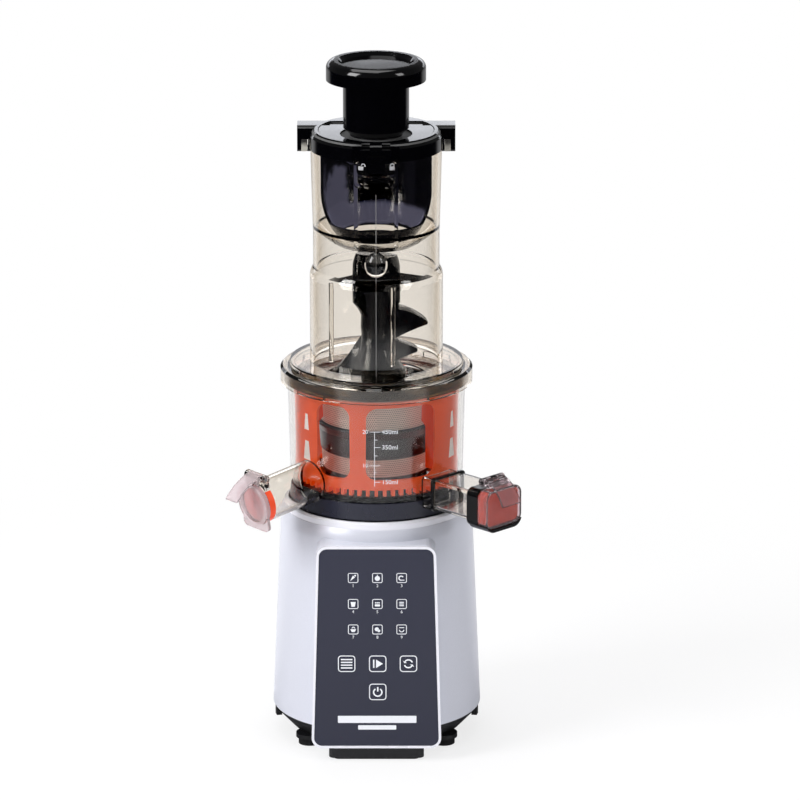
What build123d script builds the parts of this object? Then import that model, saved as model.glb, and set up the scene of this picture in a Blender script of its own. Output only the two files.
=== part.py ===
"""Cold press juicer: motor base, geared drive, juicing bowl, auger, strainer, wiper, feed hopper.

Millimetres. +Z is up and the control panel faces -Y. Every piece is drawn about the drive axis,
and save() shifts it so that the middle of the whole outline stands over the origin.
"""

import os
from math import atan2, cos, degrees, hypot, pi, radians, sin, sqrt, tan

from build123d import *

os.makedirs("parts", exist_ok=True)

# ---------------------------------------------------------------- driving dimensions
AXIS_X = 2.01  # where the drive axis stands from the middle of the outline
AXIS_Y = 14.02
RUN = 0.05  # radial clearance of a running fit
GAP = 0.3  # clearance between moving pieces
WALL = 2.5  # moulded wall
FAR = 700.0  # longer than the whole juicer, for cuts that go right through

# motor base, counted up from the worktop
FOOT_H = 8.0
FOOT_R = 9.0
FOOT_X = 54.0
FOOT_Y = 41.0
FOOT_SEAT = 2.5  # how far a foot stands up into the tray
TRAY_H = 15.6
TRAY_TOP = FOOT_H + TRAY_H
SEAM = 0.4  # gap between tray and shell
SHELL_LOW = TRAY_TOP + SEAM
SHELL_H = 166.0
SHELL_TOP = SHELL_LOW + SHELL_H
SHELL_R_LOW = 84.0
SHELL_R_TOP = 77.3
SHOULDER_H = 12.0
RING_R = 74.3  # bright ring on the shoulder
RING_W = 3.0
RING_H = 6.0
DECK_TOP = SHELL_TOP + RING_H
CONSOLE_STEP = 4.0  # how far the control panel stands out from the shell's widest radius
CONSOLE_Y = -SHELL_R_LOW - CONSOLE_STEP  # front face of the control panel
CONSOLE_LOW = FOOT_H + 4.0
CONSOLE_HIGH = SHELL_TOP - 9.0
CONSOLE_HALF_LOW = 51.9
CONSOLE_HALF_HIGH = 47.2
CONSOLE_R = 8.5
SCOOP_R = 13.5  # finger scoop over the panel
SCOOP_HALF = 40.0
BEZEL_W = 2.0
BEZEL_T = 2.4
PANEL_T = 2.0
TOE_HALF = 38.0  # front toe under the tray
TOE_FRONT = -82.0
TOE_BACK = -60.0
TOE_PAD = 1.5
SCREW_R = 1.6
SCREW_HEAD_R = 3.0
BOSS_R = 4.2
BOSS_H = 34.0
GLAND_R = 5.1
GLAND_FLANGE_R = 8.5
GLAND_Z = SHELL_LOW + 16.0
BOARD_HALF = 44.0
BOARD_LOW = 60.0
BOARD_HIGH = 150.0
BOARD_T = 1.6
BOARD_Y = CONSOLE_Y + 22.0  # front face of the control board

# motor and gearbox
GROMMET_H = 6.0
MOTOR_LOW = TRAY_TOP + GROMMET_H + SEAM
MOTOR_H = 63.0
MOTOR_HIGH = MOTOR_LOW + MOTOR_H
STATOR_R = 42.0
STATOR_H = 35.0
STATOR_LOW = MOTOR_LOW + 13.0
STATOR_HIGH = STATOR_LOW + STATOR_H
ROTOR_R = 22.0
AIR_GAP = 0.6
SHAFT_R = 4.0
BEARING_R = 9.0
BEARING_H = 6.0
BRACKET_T = 4.0
FAN_REACH = 31.0
FAN_N = 7
COIL_N = 8
GEAR_M = 1.0  # module of both reduction stages
PINION_N = 10
WHEEL_N = 50
WHEEL_TIP = 0.72  # the wheels' shortened teeth, in modules, clear the pinions' roots
GEAR_T = 9.0
BOX_LOW = MOTOR_HIGH + 3.0
STAGE_1 = BOX_LOW + WALL + 1.5  # height of the first stage's wheel
STAGE_2 = STAGE_1 + GEAR_T + 5.0
BOX_HIGH = STAGE_2 + GEAR_T + 8.0
LID_T = 4.0  # gearbox cover
CLUSTER_PIN_R = 1.6
DRIVE_R = 6.0
SEAL_R = 13.0
HEX_AF = 12.0  # drive hexagon across flats
HEX_H = 37.0
HEX_LOW = DECK_TOP + 3.0
HEX_TOP = HEX_LOW + HEX_H

# bowl
BASE_H = 14.5  # opaque bowl base
BASE_TOP = DECK_TOP + BASE_H
BOWL_R_LOW = 69.0
BOWL_DRAFT = 2.0  # how much wider the rim is than the foot
BOWL_R_TOP = BOWL_R_LOW + BOWL_DRAFT
BASE_R = BOWL_R_LOW + 1.3
BOWL_H = 92.5
BOWL_RIM = BASE_TOP + BOWL_H
FLOOR_T = 4.9
BOWL_FLOOR = BASE_TOP + FLOOR_T
BOWL_WALL = 2.6
HUB_R = 11.6
HUB_BORE = 8.6
HUB_TOP = BOWL_FLOOR + 10.6
JUICE_AZ = 50.0  # juice spout, degrees to the left of front
JUICE_DROP = 8.0  # degrees below level
JUICE_CROSS = BASE_TOP + 21.3  # height at which the spout's line meets the drive axis
JUICE_R = 17.0
JUICE_BORE = 14.7
JUICE_END = 124.5
JUICE_SEAL_T = 1.2
JUICE_SEAL_W = 6.0
PULP_AZ = 45.0  # pulp duct, degrees to the right of front
PULP_Z = BASE_TOP + 7.2
PULP_W = 33.0
PULP_H = 24.5
PULP_WALL = 2.0
FRAME_START = 79.0
FRAME_LIP = 1.6  # how far the frame stands out from the duct
DUCT_START = FRAME_START + 2.5
COLLAR_START = 120.5
COLLAR_END = 132.5
COLLAR_W = 40.0
COLLAR_H = 31.0
CHIN_T = 2.8
CAP_DEPTH = 10.0
CAP_BARREL_R = 3.6
CAP_PIN_R = 1.2
CAP_EAR_IN = 8.0
CAP_EAR_OUT = 11.5
KNUCKLE_HALF = 3.2
JUICE_HINGE_Y = JUICE_R + 4.4
PULP_HINGE_Y = COLLAR_H / 2 + 4.2
CHANNEL_W = 24.0
CHANNEL_H = 8.5
CHANNEL_HIGH = BASE_TOP - 1.5
CHANNEL_LOW = CHANNEL_HIGH - CHANNEL_H
CHANNEL_END = 63.0
NECK_FLOOR = PULP_Z - PULP_H / 2  # inside bottom of the bowl's pulp mouth
PORT_IN = 29.0
PORT_OUT = 52.0

# wiper train
TRAIN_M = 2.0
SUN_N = 20
IDLER_N = 20
CROWN_N = 60
TRAIN_T = 4.6
TRAIN_LOW = BOWL_FLOOR + GAP
TRAIN_HIGH = TRAIN_LOW + TRAIN_T
IDLER_PIN_R = 4.0
IDLER_REACH = (SUN_N + IDLER_N) * TRAIN_M / 2
WIPER_R_LOW = BOWL_R_LOW - BOWL_WALL - 1.4
WIPER_R_TOP = BOWL_R_TOP - BOWL_WALL - 2.2
WIPER_T = 3.0
WIPER_TOP = BOWL_RIM - 10.0
WINDOW_LOW = TRAIN_HIGH + 8.2
WINDOW_HIGH = WIPER_TOP - 4.5
WINDOW_R = 9.0
POST_N = 3
POST_ONE = -31.5  # middle of the first narrow window, degrees right of front
POST_TWO = 18.5  # middle of the first wide window
NARROW_DEG = 27.0
WIDE_DEG = 53.0
HOLES_DEG = 64.0  # first broad post's holes
POST_HOLES = ((13.7, 29.5, 4.6), (38.6, 52.0, 3.2))  # low and high over the window's foot, half width
BLADE_DEG = 52.0  # first blade
BLADE_T = 1.8

# strainer
SIEVE_LOW = TRAIN_HIGH + 1.2
SIEVE_FLOOR = SIEVE_LOW + 5.0  # top of the ring that the auger's journal turns in
SIEVE_TOP = BOWL_RIM - 10.5
SIEVE_R_LOW = 42.6
SIEVE_R_TOP = 46.0
SIEVE_T = 2.0
SIEVE_RIM = 1.5
LIP_R = 49.2
LIP_Z = SIEVE_LOW + 40.5
BAND_LOW = LIP_Z - 22.0  # foot of the plain band under the lip
MESH_T = 0.45
LEG_HALF = 4.0

# auger
JOURNAL_R = 24.6
SHOE_R = 30.4  # shoulder over the strainer's ring, inside the pulp hole
SHOE_T = 3.0
FLIGHT_N = 3
FLIGHT_RATE = -2.3  # degrees a millimetre
FLIGHT_LOW = SIEVE_FLOOR + 2.5
FLIGHT_HIGH = BOWL_RIM + 27.0
FLARE_R = 24.0
COLUMN_R = 12.6
COLUMN_TOP = BOWL_RIM + 69.0
HORN_LOW = BOWL_RIM + 39.0
HORN_TOP = BOWL_RIM + 94.0
HORN_R = 19.0
HORN_T = 15.0
WINGS = ((25.0, 37.5, 53.0, 41.0, 4.0), (6.0, 15.5, 24.0, 33.0, 2.0))  # foot, tip, top, reach, bearing
WING_RATE = -1.6
INSERT_R = 10.2
INSERT_LOW = HUB_TOP + 1.2
INSERT_TOP = INSERT_LOW + 24.8

# lid and hopper
SKIRT_R = BOWL_R_TOP + 5.7
SKIRT_LOW = BOWL_RIM - 9.0
SKIRT_H = 13.0
SKIRT_TOP = SKIRT_LOW + SKIRT_H
STEP_R = 68.3
STEP_TOP = SKIRT_TOP + 4.0
DRUM_R = 53.0  # lower chamber
DRUM_H = 69.5
DRUM_TOP = STEP_TOP + DRUM_H
NECK_Z = DRUM_TOP + 7.5
NECK_R = 50.2
NECK_TOP = NECK_Z + 27.0
HOPPER_R = 52.0
HOPPER_H = 95.7
HOPPER_TOP = NECK_Z + HOPPER_H
FLOOR_R = 65.0  # radius of the upper chamber's dished floor
FLOOR_Z = NECK_Z + 78.0
MOUTH_R = 31.0
BUTTON_R = 9.6  # moulded egg-shaped nub on the neck's front
BUTTON_HALF = 12.5
BUTTON_OUT = 5.4
LUG_N = 4
LUG_DEG = 22.0
LUG_T = 3.0
LUG_Z = SKIRT_LOW + 3.0

# black ring, guard, gate and latch at the mouth
COLLAR_R = 52.4
COLLAR_IN = 46.0
COLLAR_T = 14.9
COLLAR_TOP = HOPPER_TOP + COLLAR_T
COLLAR_BEVEL = 3.6
GUARD_R = 48.3
GUARD_Z = NECK_Z + 62.0
GUARD_T = 2.2
GUARD_FRONT = -6.0
GUARD_LIP = NECK_Z + 36.0  # below this the guard goes all the way round
GATE_R = 45.4
GATE_T = 3.4
GATE_TOP = COLLAR_TOP - 0.4
GATE_LOW = GATE_TOP - GATE_T
GATE_BACK = 17.5
HINGE_Y = 22.0
HINGE_Z = GATE_LOW - 1.3
HINGE_R = 3.8
HINGE_PIN_R = 1.5
BARREL_HALF = 37.0
REAR_Y = 28.0
FEED_Y = -13.0  # feed hole and pusher
FEED_R = 28.5
EAR_REACH = 62.6
EAR_Y0 = 12.0
EAR_Y1 = 30.0
EAR_LOW = HOPPER_TOP - 6.3
EAR_TOP = HOPPER_TOP + 4.3
EAR_WALL = 3.8
EAR_SKIN = 2.0
NOTCH_HALF = 18.4
LATCH_TRAVEL = 6.0
LATCH_BACK = 47.5
NUB_BACK = 43.0
NUB_HALF = 4.7
NUB_T = 2.6
TAB_HALF = 7.3
TAB_FRONT = 57.5
POCKET_HALF = 17.2
POCKET_DROP = 19.1
POCKET_LOW = HOPPER_TOP - POCKET_DROP
POCKET_WALL = 2.8

# pusher
FLANGE_R = 39.3
FLANGE_T = 15.7
FLANGE_LOW = COLLAR_TOP + 43.2
FLANGE_TOP = FLANGE_LOW + FLANGE_T
DISH_D = 3.2  # hollow in the flange's top
PUSHER_R = 26.0
PUSHER_STEP = COLLAR_TOP + 5.0  # where the wide shaft ends
PUSHER_TIP_R = 20.8
PUSHER_TIP = GATE_LOW - 28.8
HEAD_LOW = GATE_LOW - 14.8  # the wide head that slides in the gate's feed hole
HEAD_TOP = GATE_TOP - 1.2

MIN_Z = (Align.CENTER, Align.CENTER, Align.MIN)


# ---------------------------------------------------------------- shared shapes
def turned(*marks):
    """A solid turned about the drive axis. Marks are (radius, height); one in a list is mid-arc."""
    path = [*marks, marks[0]]
    edges, here, i = [], path[0], 1
    while i < len(path):
        if isinstance(path[i], list):
            edges.append(ThreePointArc(here, path[i][0], path[i + 1]))
            i += 1
        else:
            edges.append(Line(here, path[i]))
        here = path[i]
        i += 1
    return revolve(Plane.XZ * make_face(edges), Axis.Z)


def rod(radius, low, high, x=0, y=0):
    return Pos(x, y, low) * Cylinder(radius, high - low, align=MIN_Z)


def tube(inner, outer, low, high, x=0, y=0):
    return rod(outer, low, high, x, y) - rod(inner, low - 1, high + 1, x, y)


def block(x0, x1, y0, y1, z0, z1):
    return Pos((x0 + x1) / 2, (y0 + y1) / 2, (z0 + z1) / 2) * Box(x1 - x0, y1 - y0, z1 - z0)


def around(shape, count, start=0.0):
    """Copies of a shape, evenly spaced about the drive axis."""
    return [Rot(0, 0, start + i * 360 / count) * shape for i in range(count)]


def facing(right_of_front):
    """Turns a shape drawn on the front (-Y) side to another bearing."""
    return Rot(0, 0, right_of_front)


def fused(shapes):
    whole = shapes[0]
    for shape in shapes[1:]:
        whole = whole + shape
    return whole


def save(name, *pieces):
    solids = [solid for piece in pieces for solid in piece.solids()]
    group = solids[0] if len(solids) == 1 else Compound(children=solids)
    export_step(Pos(AXIS_X, AXIS_Y, 0) * group, f"parts/{name}.step")


def gear(teeth, module, height, bore, phase, slack=0.18, tip=0.9, root=1.2):
    """A spur gear with straight-flanked teeth, one of them centred on the bearing phase."""
    pitch = teeth * module / 2
    half = pi * module / 4 * (1 - slack)
    slope = tan(radians(20))
    rings = (
        (pitch - root * module, half + root * module * slope),
        (pitch + tip * module, half - tip * module * slope),
    )
    points = []
    for i in range(teeth):
        middle = radians(phase + 360 * i / teeth)
        for (r, w), sign in ((rings[0], -1), (rings[1], -1), (rings[1], 1), (rings[0], 1)):
            turn = middle + sign * w / r
            points.append((r * cos(turn), r * sin(turn)))
    blank = extrude(make_face(Polyline(*points, close=True)), height)
    return blank - rod(bore, -1, height + 1)


JUICE_DIR = Vector(
    -sin(radians(JUICE_AZ)) * cos(radians(JUICE_DROP)),
    -cos(radians(JUICE_AZ)) * cos(radians(JUICE_DROP)),
    -sin(radians(JUICE_DROP)),
)
JUICE = Plane(
    origin=(0, 0, JUICE_CROSS),
    x_dir=(cos(radians(JUICE_AZ)), -sin(radians(JUICE_AZ)), 0),
    z_dir=JUICE_DIR,
)
PULP = Plane(
    origin=(0, 0, PULP_Z),
    x_dir=(cos(radians(PULP_AZ)), sin(radians(PULP_AZ)), 0),
    z_dir=(sin(radians(PULP_AZ)), -cos(radians(PULP_AZ)), 0),
)


def duct_bar(width, height, start, end, corner, y=0.0):
    """A bar with rounded corners along the pulp duct."""
    section = Pos(0, y, start) * RectangleRounded(width, height, corner)
    return PULP * extrude(section, end - start)


# ---------------------------------------------------------------- motor base
def console_solid(inset, front, back, low, high):
    """The control panel's upright block, narrower at its top, drawn in by inset on each side."""
    half_low = CONSOLE_HALF_LOW - inset
    half_high = CONSOLE_HALF_HIGH - inset
    outline = Polyline((-half_low, low), (half_low, low), (half_high, high), (-half_high, high), close=True)
    face = make_face(outline)
    face = fillet(face.vertices(), max(CONSOLE_R - inset, 1))
    return Pos(0, back, 0) * extrude(Plane.XZ * face, back - front)


def base_shell():
    shoulder = SHELL_TOP - SHOULDER_H
    front = CONSOLE_Y + BEZEL_T
    lip = RING_R - RING_W - 5
    outer = turned(
        (0, SHELL_LOW),
        (SHELL_R_LOW, SHELL_LOW),
        (SHELL_R_TOP, shoulder),
        [(SHELL_R_TOP - 0.8, SHELL_TOP - SHOULDER_H * 0.42)],
        (RING_R + 0.3, SHELL_TOP),
        (0, SHELL_TOP),
    )
    inner = turned(
        (0, SHELL_LOW),
        (SHELL_R_LOW - WALL, SHELL_LOW),
        (SHELL_R_TOP - WALL, shoulder),
        (SHELL_R_TOP - WALL - 1.5, SHELL_TOP - WALL),
        (0, SHELL_TOP - WALL),
    )
    outer += console_solid(0, CONSOLE_Y + BEZEL_T, -40, CONSOLE_LOW, CONSOLE_HIGH)
    inner += console_solid(WALL, CONSOLE_Y + BEZEL_T + WALL, -35, CONSOLE_LOW + WALL, CONSOLE_HIGH - WALL)
    shell = outer - inner - rod(lip, SHELL_TOP - 5, SHELL_TOP + 5)
    scoop = Pos(0, CONSOLE_Y - 3, CONSOLE_HIGH + SCOOP_R - 2) * Rot(0, 90, 0) * Cylinder(SCOOP_R, 2 * SCOOP_HALF)
    shell -= scoop
    window = console_solid(BEZEL_W + 8, CONSOLE_Y - 5, CONSOLE_Y + 12, CONSOLE_LOW + 12, CONSOLE_HIGH - 12)
    shell -= window
    shell -= at_inlet(-12) * rod(GLAND_R + RUN, 0, 20)
    for x, y in screw_places():
        boss_top = SHELL_LOW + BOSS_H - WALL
        boss = tube(SCREW_R + RUN, BOSS_R, FOOT_H + WALL, boss_top, x, y)
        bearing = degrees(atan2(x, -y))
        reach = hypot(x, y) + BOSS_R - 0.2
        web = facing(bearing) * block(-1.2, 1.2, 1 - SHELL_R_LOW, -reach, TRAY_TOP + 1, boss_top)
        shell += boss + (web & inner)
    for x in (-BOARD_HALF + 1, BOARD_HALF - 1):
        for z in (BOARD_LOW + 4, BOARD_HIGH - 4):
            shell += Pos(x, BOARD_Y, z) * Rot(90, 0, 0) * Cylinder(2.4, BOARD_Y - front - WALL, align=MIN_Z)
    return shell


def at_inlet(inset):
    """Where the supply enters at the back, measured from the shell's widest radius."""
    return Pos(0, SHELL_R_LOW + inset, GLAND_Z) * Rot(-90, 0, 0)


def screw_places():
    return ((36, 52), (-36, 52), (-62, -6), (62, -6))


def panel_bezel():
    back = CONSOLE_Y + BEZEL_T
    outer = console_solid(0, CONSOLE_Y, back, CONSOLE_LOW, CONSOLE_HIGH)
    return outer - console_solid(
        BEZEL_W, CONSOLE_Y - 1, back + 1, CONSOLE_LOW + BEZEL_W, CONSOLE_HIGH - BEZEL_W
    )


def touch_panel():
    front = CONSOLE_Y + BEZEL_T - PANEL_T
    return console_solid(
        BEZEL_W + 0.1, front, CONSOLE_Y + BEZEL_T, CONSOLE_LOW + BEZEL_W + 0.1, CONSOLE_HIGH - BEZEL_W - 0.1
    )


def bottom_tray():
    floor = FOOT_H
    dish = turned(
        (0, floor),
        (70, floor),
        (SHELL_R_LOW - 3.2, TRAY_TOP - 4),
        (SHELL_R_LOW - 2.2, TRAY_TOP),
        (SHELL_R_LOW - 5.2, TRAY_TOP),
        (68.5, floor + WALL),
        (0, floor + WALL),
    )
    slot = Pos(0, 30, 0) * block(-1.6, 1.6, -11, 11, floor - 1, floor + WALL + 1)
    for turn in range(0, 360, 24):
        dish -= Rot(0, 0, turn) * slot
    for turn in (-12, 192):
        dish += Rot(0, 0, turn) * block(SHELL_R_LOW - 5, SHELL_R_LOW - 0.6, -3, 3, TRAY_TOP - 8, TRAY_TOP)
    dish -= console_solid(-GAP, CONSOLE_Y - 5, -40, CONSOLE_LOW - GAP, CONSOLE_HIGH)
    toe = block(-TOE_HALF, TOE_HALF, TOE_FRONT, TOE_BACK, TOE_PAD, CONSOLE_LOW - GAP)
    dish += fillet(toe.edges().filter_by(Axis.Z), 5)
    for x, y in foot_places():
        dish += rod(FOOT_R + 2, FOOT_H - FOOT_SEAT, floor + 1, x, y)
        dish -= rod(FOOT_R - 1.5, 0, FOOT_H - 1, x, y)
    for x, y in grommet_places():
        dish += rod(6, floor, MOTOR_LOW - GROMMET_H, x, y)
    for x, y in screw_places():
        dish -= rod(SCREW_R + RUN, floor - 1, floor + WALL + 1, x, y)
    return dish


def foot_places():
    return [(x, y) for x in (-FOOT_X, FOOT_X) for y in (-FOOT_Y, FOOT_Y)]


def grommet_places():
    reach = STATOR_R * 0.64
    return [(x, y) for x in (-reach, reach) for y in (-reach, reach)]


def rubber_feet():
    foot = rod(FOOT_R, 0, FOOT_H - FOOT_SEAT) + rod(FOOT_R - 1.5, 0, FOOT_H - 1)
    strip = block(4 - TOE_HALF, TOE_HALF - 4, TOE_FRONT + 2, TOE_BACK - 4, 0, TOE_PAD)
    strip = fillet(strip.edges().filter_by(Axis.Z), 4)
    return [Pos(x, y, 0) * foot for x, y in foot_places()] + [strip]


def trim_ring():
    low, inner = SHELL_TOP, RING_R - RING_W
    return turned(
        (inner, low), (RING_R, low), (RING_R, DECK_TOP - 1.5), (RING_R - 1.5, DECK_TOP), (inner, DECK_TOP)
    )


def deck():
    top_r = RING_R - RING_W - 0.1
    plate = turned(
        (SEAL_R, SHELL_TOP),
        (top_r, SHELL_TOP),
        (top_r, DECK_TOP),
        (SEAL_R, DECK_TOP),
    )
    plate += tube(SEAL_R, SEAL_R + 4, SHELL_TOP - 14, SHELL_TOP)
    for x, y in post_places():
        plate += rod(4.5, BOX_HIGH, SHELL_TOP, x, y)
    return plate


def post_places():
    return [(x, y) for x in (-24, 24) for y in (-14, 44)]


def shaft_seal():
    return tube(DRIVE_R + RUN, SEAL_R, DECK_TOP - 6, DECK_TOP - 1)


def deck_bearing():
    return tube(DRIVE_R + RUN, SEAL_R, SHELL_TOP - 13, SHELL_TOP - 3)


def rear_gland():
    body = rod(GLAND_R, 0, 14) + rod(GLAND_FLANGE_R, 12, 14.5) + rod(GLAND_FLANGE_R, 0, 6) - rod(3.2, -1, 20)
    return at_inlet(-12) * body


def base_screws():
    screw = rod(SCREW_HEAD_R, 0, 2.2) + rod(SCREW_R, 2, 12)
    return [Pos(x, y, FOOT_H - 2.2) * screw for x, y in screw_places()]


# ---------------------------------------------------------------- motor and gearbox
OFFSET = (PINION_N + WHEEL_N) * GEAR_M / 2  # centre distance of both stages


def rotor():
    parts = rod(SHAFT_R, MOTOR_LOW - 17, STAGE_1) + rod(ROTOR_R, STATOR_LOW, STATOR_HIGH)
    parts += tube(10, ROTOR_R - 2, STATOR_LOW - 3, STATOR_HIGH + 3)
    teeth = gear(PINION_N, GEAR_M, GEAR_T + 2, 0.01, 90)
    return parts + Pos(0, 0, STAGE_1) * teeth


def fan():
    blade = Pos(FAN_REACH - 11, 0, MOTOR_LOW - 11.5) * Rot(35, 0, 0) * Box(22, 1.6, 8)
    hub = tube(SHAFT_R, 10.5, MOTOR_LOW - 16, MOTOR_LOW - 7)
    return fused([hub, *around(blade, FAN_N)]) - rod(SHAFT_R, 0, FAR)


def stator():
    stack = tube(ROTOR_R + AIR_GAP, STATOR_R, STATOR_LOW, STATOR_HIGH)
    slot = Pos(32, 0, STATOR_LOW - 1) * Box(14, 5, STATOR_HIGH - STATOR_LOW + 2, align=MIN_Z)
    for piece in around(slot, COIL_N, 180 / COIL_N):
        stack -= piece
    return stack


def windings():
    low = tube(ROTOR_R + 3.4, 38.8, STATOR_LOW - 7, STATOR_LOW)
    high = tube(ROTOR_R + 3.4, 38.8, STATOR_HIGH, STATOR_HIGH + 7)
    coil = Pos(32, 0, STATOR_LOW) * Box(13, 4.6, STATOR_HIGH - STATOR_LOW, align=MIN_Z)
    return fused([low, high, *around(coil, COIL_N, 180 / COIL_N)])


def end_bracket(low, high, bearing_low):
    plate = tube(BEARING_R, STATOR_R + 3, low, high)
    plate += tube(BEARING_R, BEARING_R + 3, min(low, bearing_low), max(high, bearing_low + BEARING_H))
    wall_low, wall_high = (high, STATOR_LOW + 4) if low < STATOR_LOW else (STATOR_HIGH - 4, low)
    rim = tube(STATOR_R, STATOR_R + 3, wall_low, wall_high)
    opening = Pos(0, 28, 0) * rod(7, low - 1, high + 1)
    for piece in around(opening, 4):
        plate -= piece
    return plate + rim


def bearings():
    low = tube(SHAFT_R + RUN, BEARING_R, MOTOR_LOW, MOTOR_LOW + BEARING_H)
    high = tube(SHAFT_R + RUN, BEARING_R, MOTOR_HIGH - BEARING_H, MOTOR_HIGH)
    return [low, high]


def grommets():
    return [tube(1.6, 6, MOTOR_LOW - GROMMET_H, MOTOR_LOW, x, y) for x, y in grommet_places()]


def box_outline(radius, low, high):
    """The gearbox's plan: two round ends about the drive axis and the cluster's axis."""
    side = block(-radius, radius, 0, OFFSET, low, high)
    return rod(radius, low, high) + rod(radius, low, high, 0, OFFSET) + side


def gearbox_case():
    inner = WHEEL_N * GEAR_M / 2 + GEAR_M + 2
    case = box_outline(inner + WALL, BOX_LOW, BOX_HIGH - LID_T)
    case -= box_outline(inner, BOX_LOW + WALL, BOX_HIGH)
    case += rod(CLUSTER_PIN_R + 3, BOX_LOW, STAGE_1 - 0.5, 0, OFFSET)
    case -= rod(SHAFT_R + GAP, 0, BOX_HIGH)
    case -= rod(CLUSTER_PIN_R, BOX_LOW - 1, BOX_HIGH, 0, OFFSET)
    return case + tube(BEARING_R + 3, STATOR_R - 12, MOTOR_HIGH, BOX_LOW)


def gearbox_cover():
    inner = WHEEL_N * GEAR_M / 2 + GEAR_M + 2
    cover = box_outline(inner + WALL, BOX_HIGH - LID_T, BOX_HIGH)
    cover -= rod(DRIVE_R + RUN, 0, FAR)
    return cover - rod(CLUSTER_PIN_R, 0, FAR, 0, OFFSET)


def cluster_pin():
    return rod(CLUSTER_PIN_R, BOX_LOW, BOX_HIGH, 0, OFFSET)


def cluster_gear():
    wheel = gear(WHEEL_N, GEAR_M, GEAR_T, CLUSTER_PIN_R + RUN, -90 + 180 / WHEEL_N, tip=WHEEL_TIP)
    for piece in around(rod(4.2, -1, GEAR_T + 1, 15), 6):
        wheel -= piece
    pinion = gear(PINION_N, GEAR_M, GEAR_T + 3, CLUSTER_PIN_R + RUN, -90 + 180 / PINION_N)
    neck = tube(CLUSTER_PIN_R + RUN, 3.6, 0, STAGE_2 - 1 - STAGE_1)
    return Pos(0, OFFSET, STAGE_1 + 0.5) * (wheel + neck + Pos(0, 0, STAGE_2 - STAGE_1 - 1.5) * pinion)


def output_gear():
    wheel = gear(WHEEL_N, GEAR_M, GEAR_T, DRIVE_R, 90, tip=WHEEL_TIP)
    for piece in around(rod(3.6, -1, GEAR_T + 1, 15), 6, 30):
        wheel -= piece
    return Pos(0, 0, STAGE_2) * wheel


def drive_shaft():
    shaft = rod(DRIVE_R, STAGE_2 - 1, HEX_LOW)
    hexagon = extrude(RegularPolygon(HEX_AF / 2, 6, major_radius=False), HEX_TOP - HEX_LOW)
    hexagon = chamfer(hexagon.edges().group_by(Axis.Z)[-1], 1)
    return shaft + Pos(0, 0, HEX_LOW) * hexagon


def control_board():
    back = BOARD_Y + BOARD_T
    board = block(-BOARD_HALF, BOARD_HALF, BOARD_Y, back, BOARD_LOW, BOARD_HIGH)
    chips = ((-18, 80, 16, 20, 14), (12, 84, 22, 14, 10), (-10, 118, 28, 12, 9), (18, 128, 12, 24, 12))
    for x, z, w, h, d in chips:
        board += block(x - w / 2, x + w / 2, back, back + d, z - h / 2, z + h / 2)
    return board


def touch_board():
    front = CONSOLE_Y + BEZEL_T + 0.1
    board = block(-32, 32, front, front + BOARD_T, CONSOLE_LOW + 28, CONSOLE_HIGH - 21)
    for column in (-1, 0, 1):
        board += Pos(column * 25, front + BOARD_T, CONSOLE_LOW + 70) * Rot(-90, 0, 0) * Cylinder(6, 3, align=MIN_Z)
    return board


def run_capacitor():
    can = fillet(Cylinder(11, 56, align=MIN_Z).edges().group_by(Axis.Z)[-1], 2)
    return Pos(53.4, 20.6, FOOT_H + WALL) * can


def lid_switch():
    body = block(RING_R - 24, RING_R - 9, -5, 5, SHELL_TOP - 20, SHELL_TOP)
    return Rot(0, 0, 150) * body


# ---------------------------------------------------------------- bowl
def bowl_cone(inset, low, high):
    """The bowl's tapering outside, drawn in by inset."""
    lean = (BOWL_R_TOP - BOWL_R_LOW) / (SKIRT_LOW - BASE_TOP)

    def radius(z):
        return BOWL_R_LOW - inset + lean * (min(z, SKIRT_LOW) - BASE_TOP)

    marks = [(0, low), (radius(low), low)]
    if high > SKIRT_LOW:
        marks.append((radius(high), SKIRT_LOW))
    return turned(*marks, (radius(high), high), (0, high))


def bowl_base():
    base = turned(
        (HUB_BORE, DECK_TOP),
        (BASE_R - 1, DECK_TOP),
        (BASE_R, DECK_TOP + 1),
        (BASE_R, BASE_TOP),
        (HUB_BORE, BASE_TOP),
    )
    pocket = tube(HUB_R + 3, BASE_R - 4, DECK_TOP - 1, BASE_TOP - 3)
    keep = PULP * Pos(0, 0, BASE_R / 2) * Box(CHANNEL_W + 6, 60, BASE_R)
    base -= pocket - (keep & rod(BASE_R, DECK_TOP - 1, BASE_TOP))
    channel = duct_bar(CHANNEL_W, CHANNEL_H, PORT_IN, CHANNEL_END, 1, (CHANNEL_LOW + CHANNEL_HIGH) / 2 - PULP_Z)
    ramp_rise = (NECK_FLOOR + CHANNEL_HIGH) / 2 - PULP_Z
    ramp = duct_bar(CHANNEL_W, CHANNEL_HIGH - NECK_FLOOR, CHANNEL_END - 2, BASE_R + 5, 1, ramp_rise)
    return base - channel - ramp - pulp_port()


def pulp_port():
    middle = (CHANNEL_HIGH + BOWL_FLOOR) / 2
    height = BOWL_FLOOR - CHANNEL_HIGH + 2
    return PULP * Pos(0, middle - PULP_Z, PORT_IN) * Box(CHANNEL_W, height, PORT_OUT - PORT_IN, align=MIN_Z)


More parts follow.
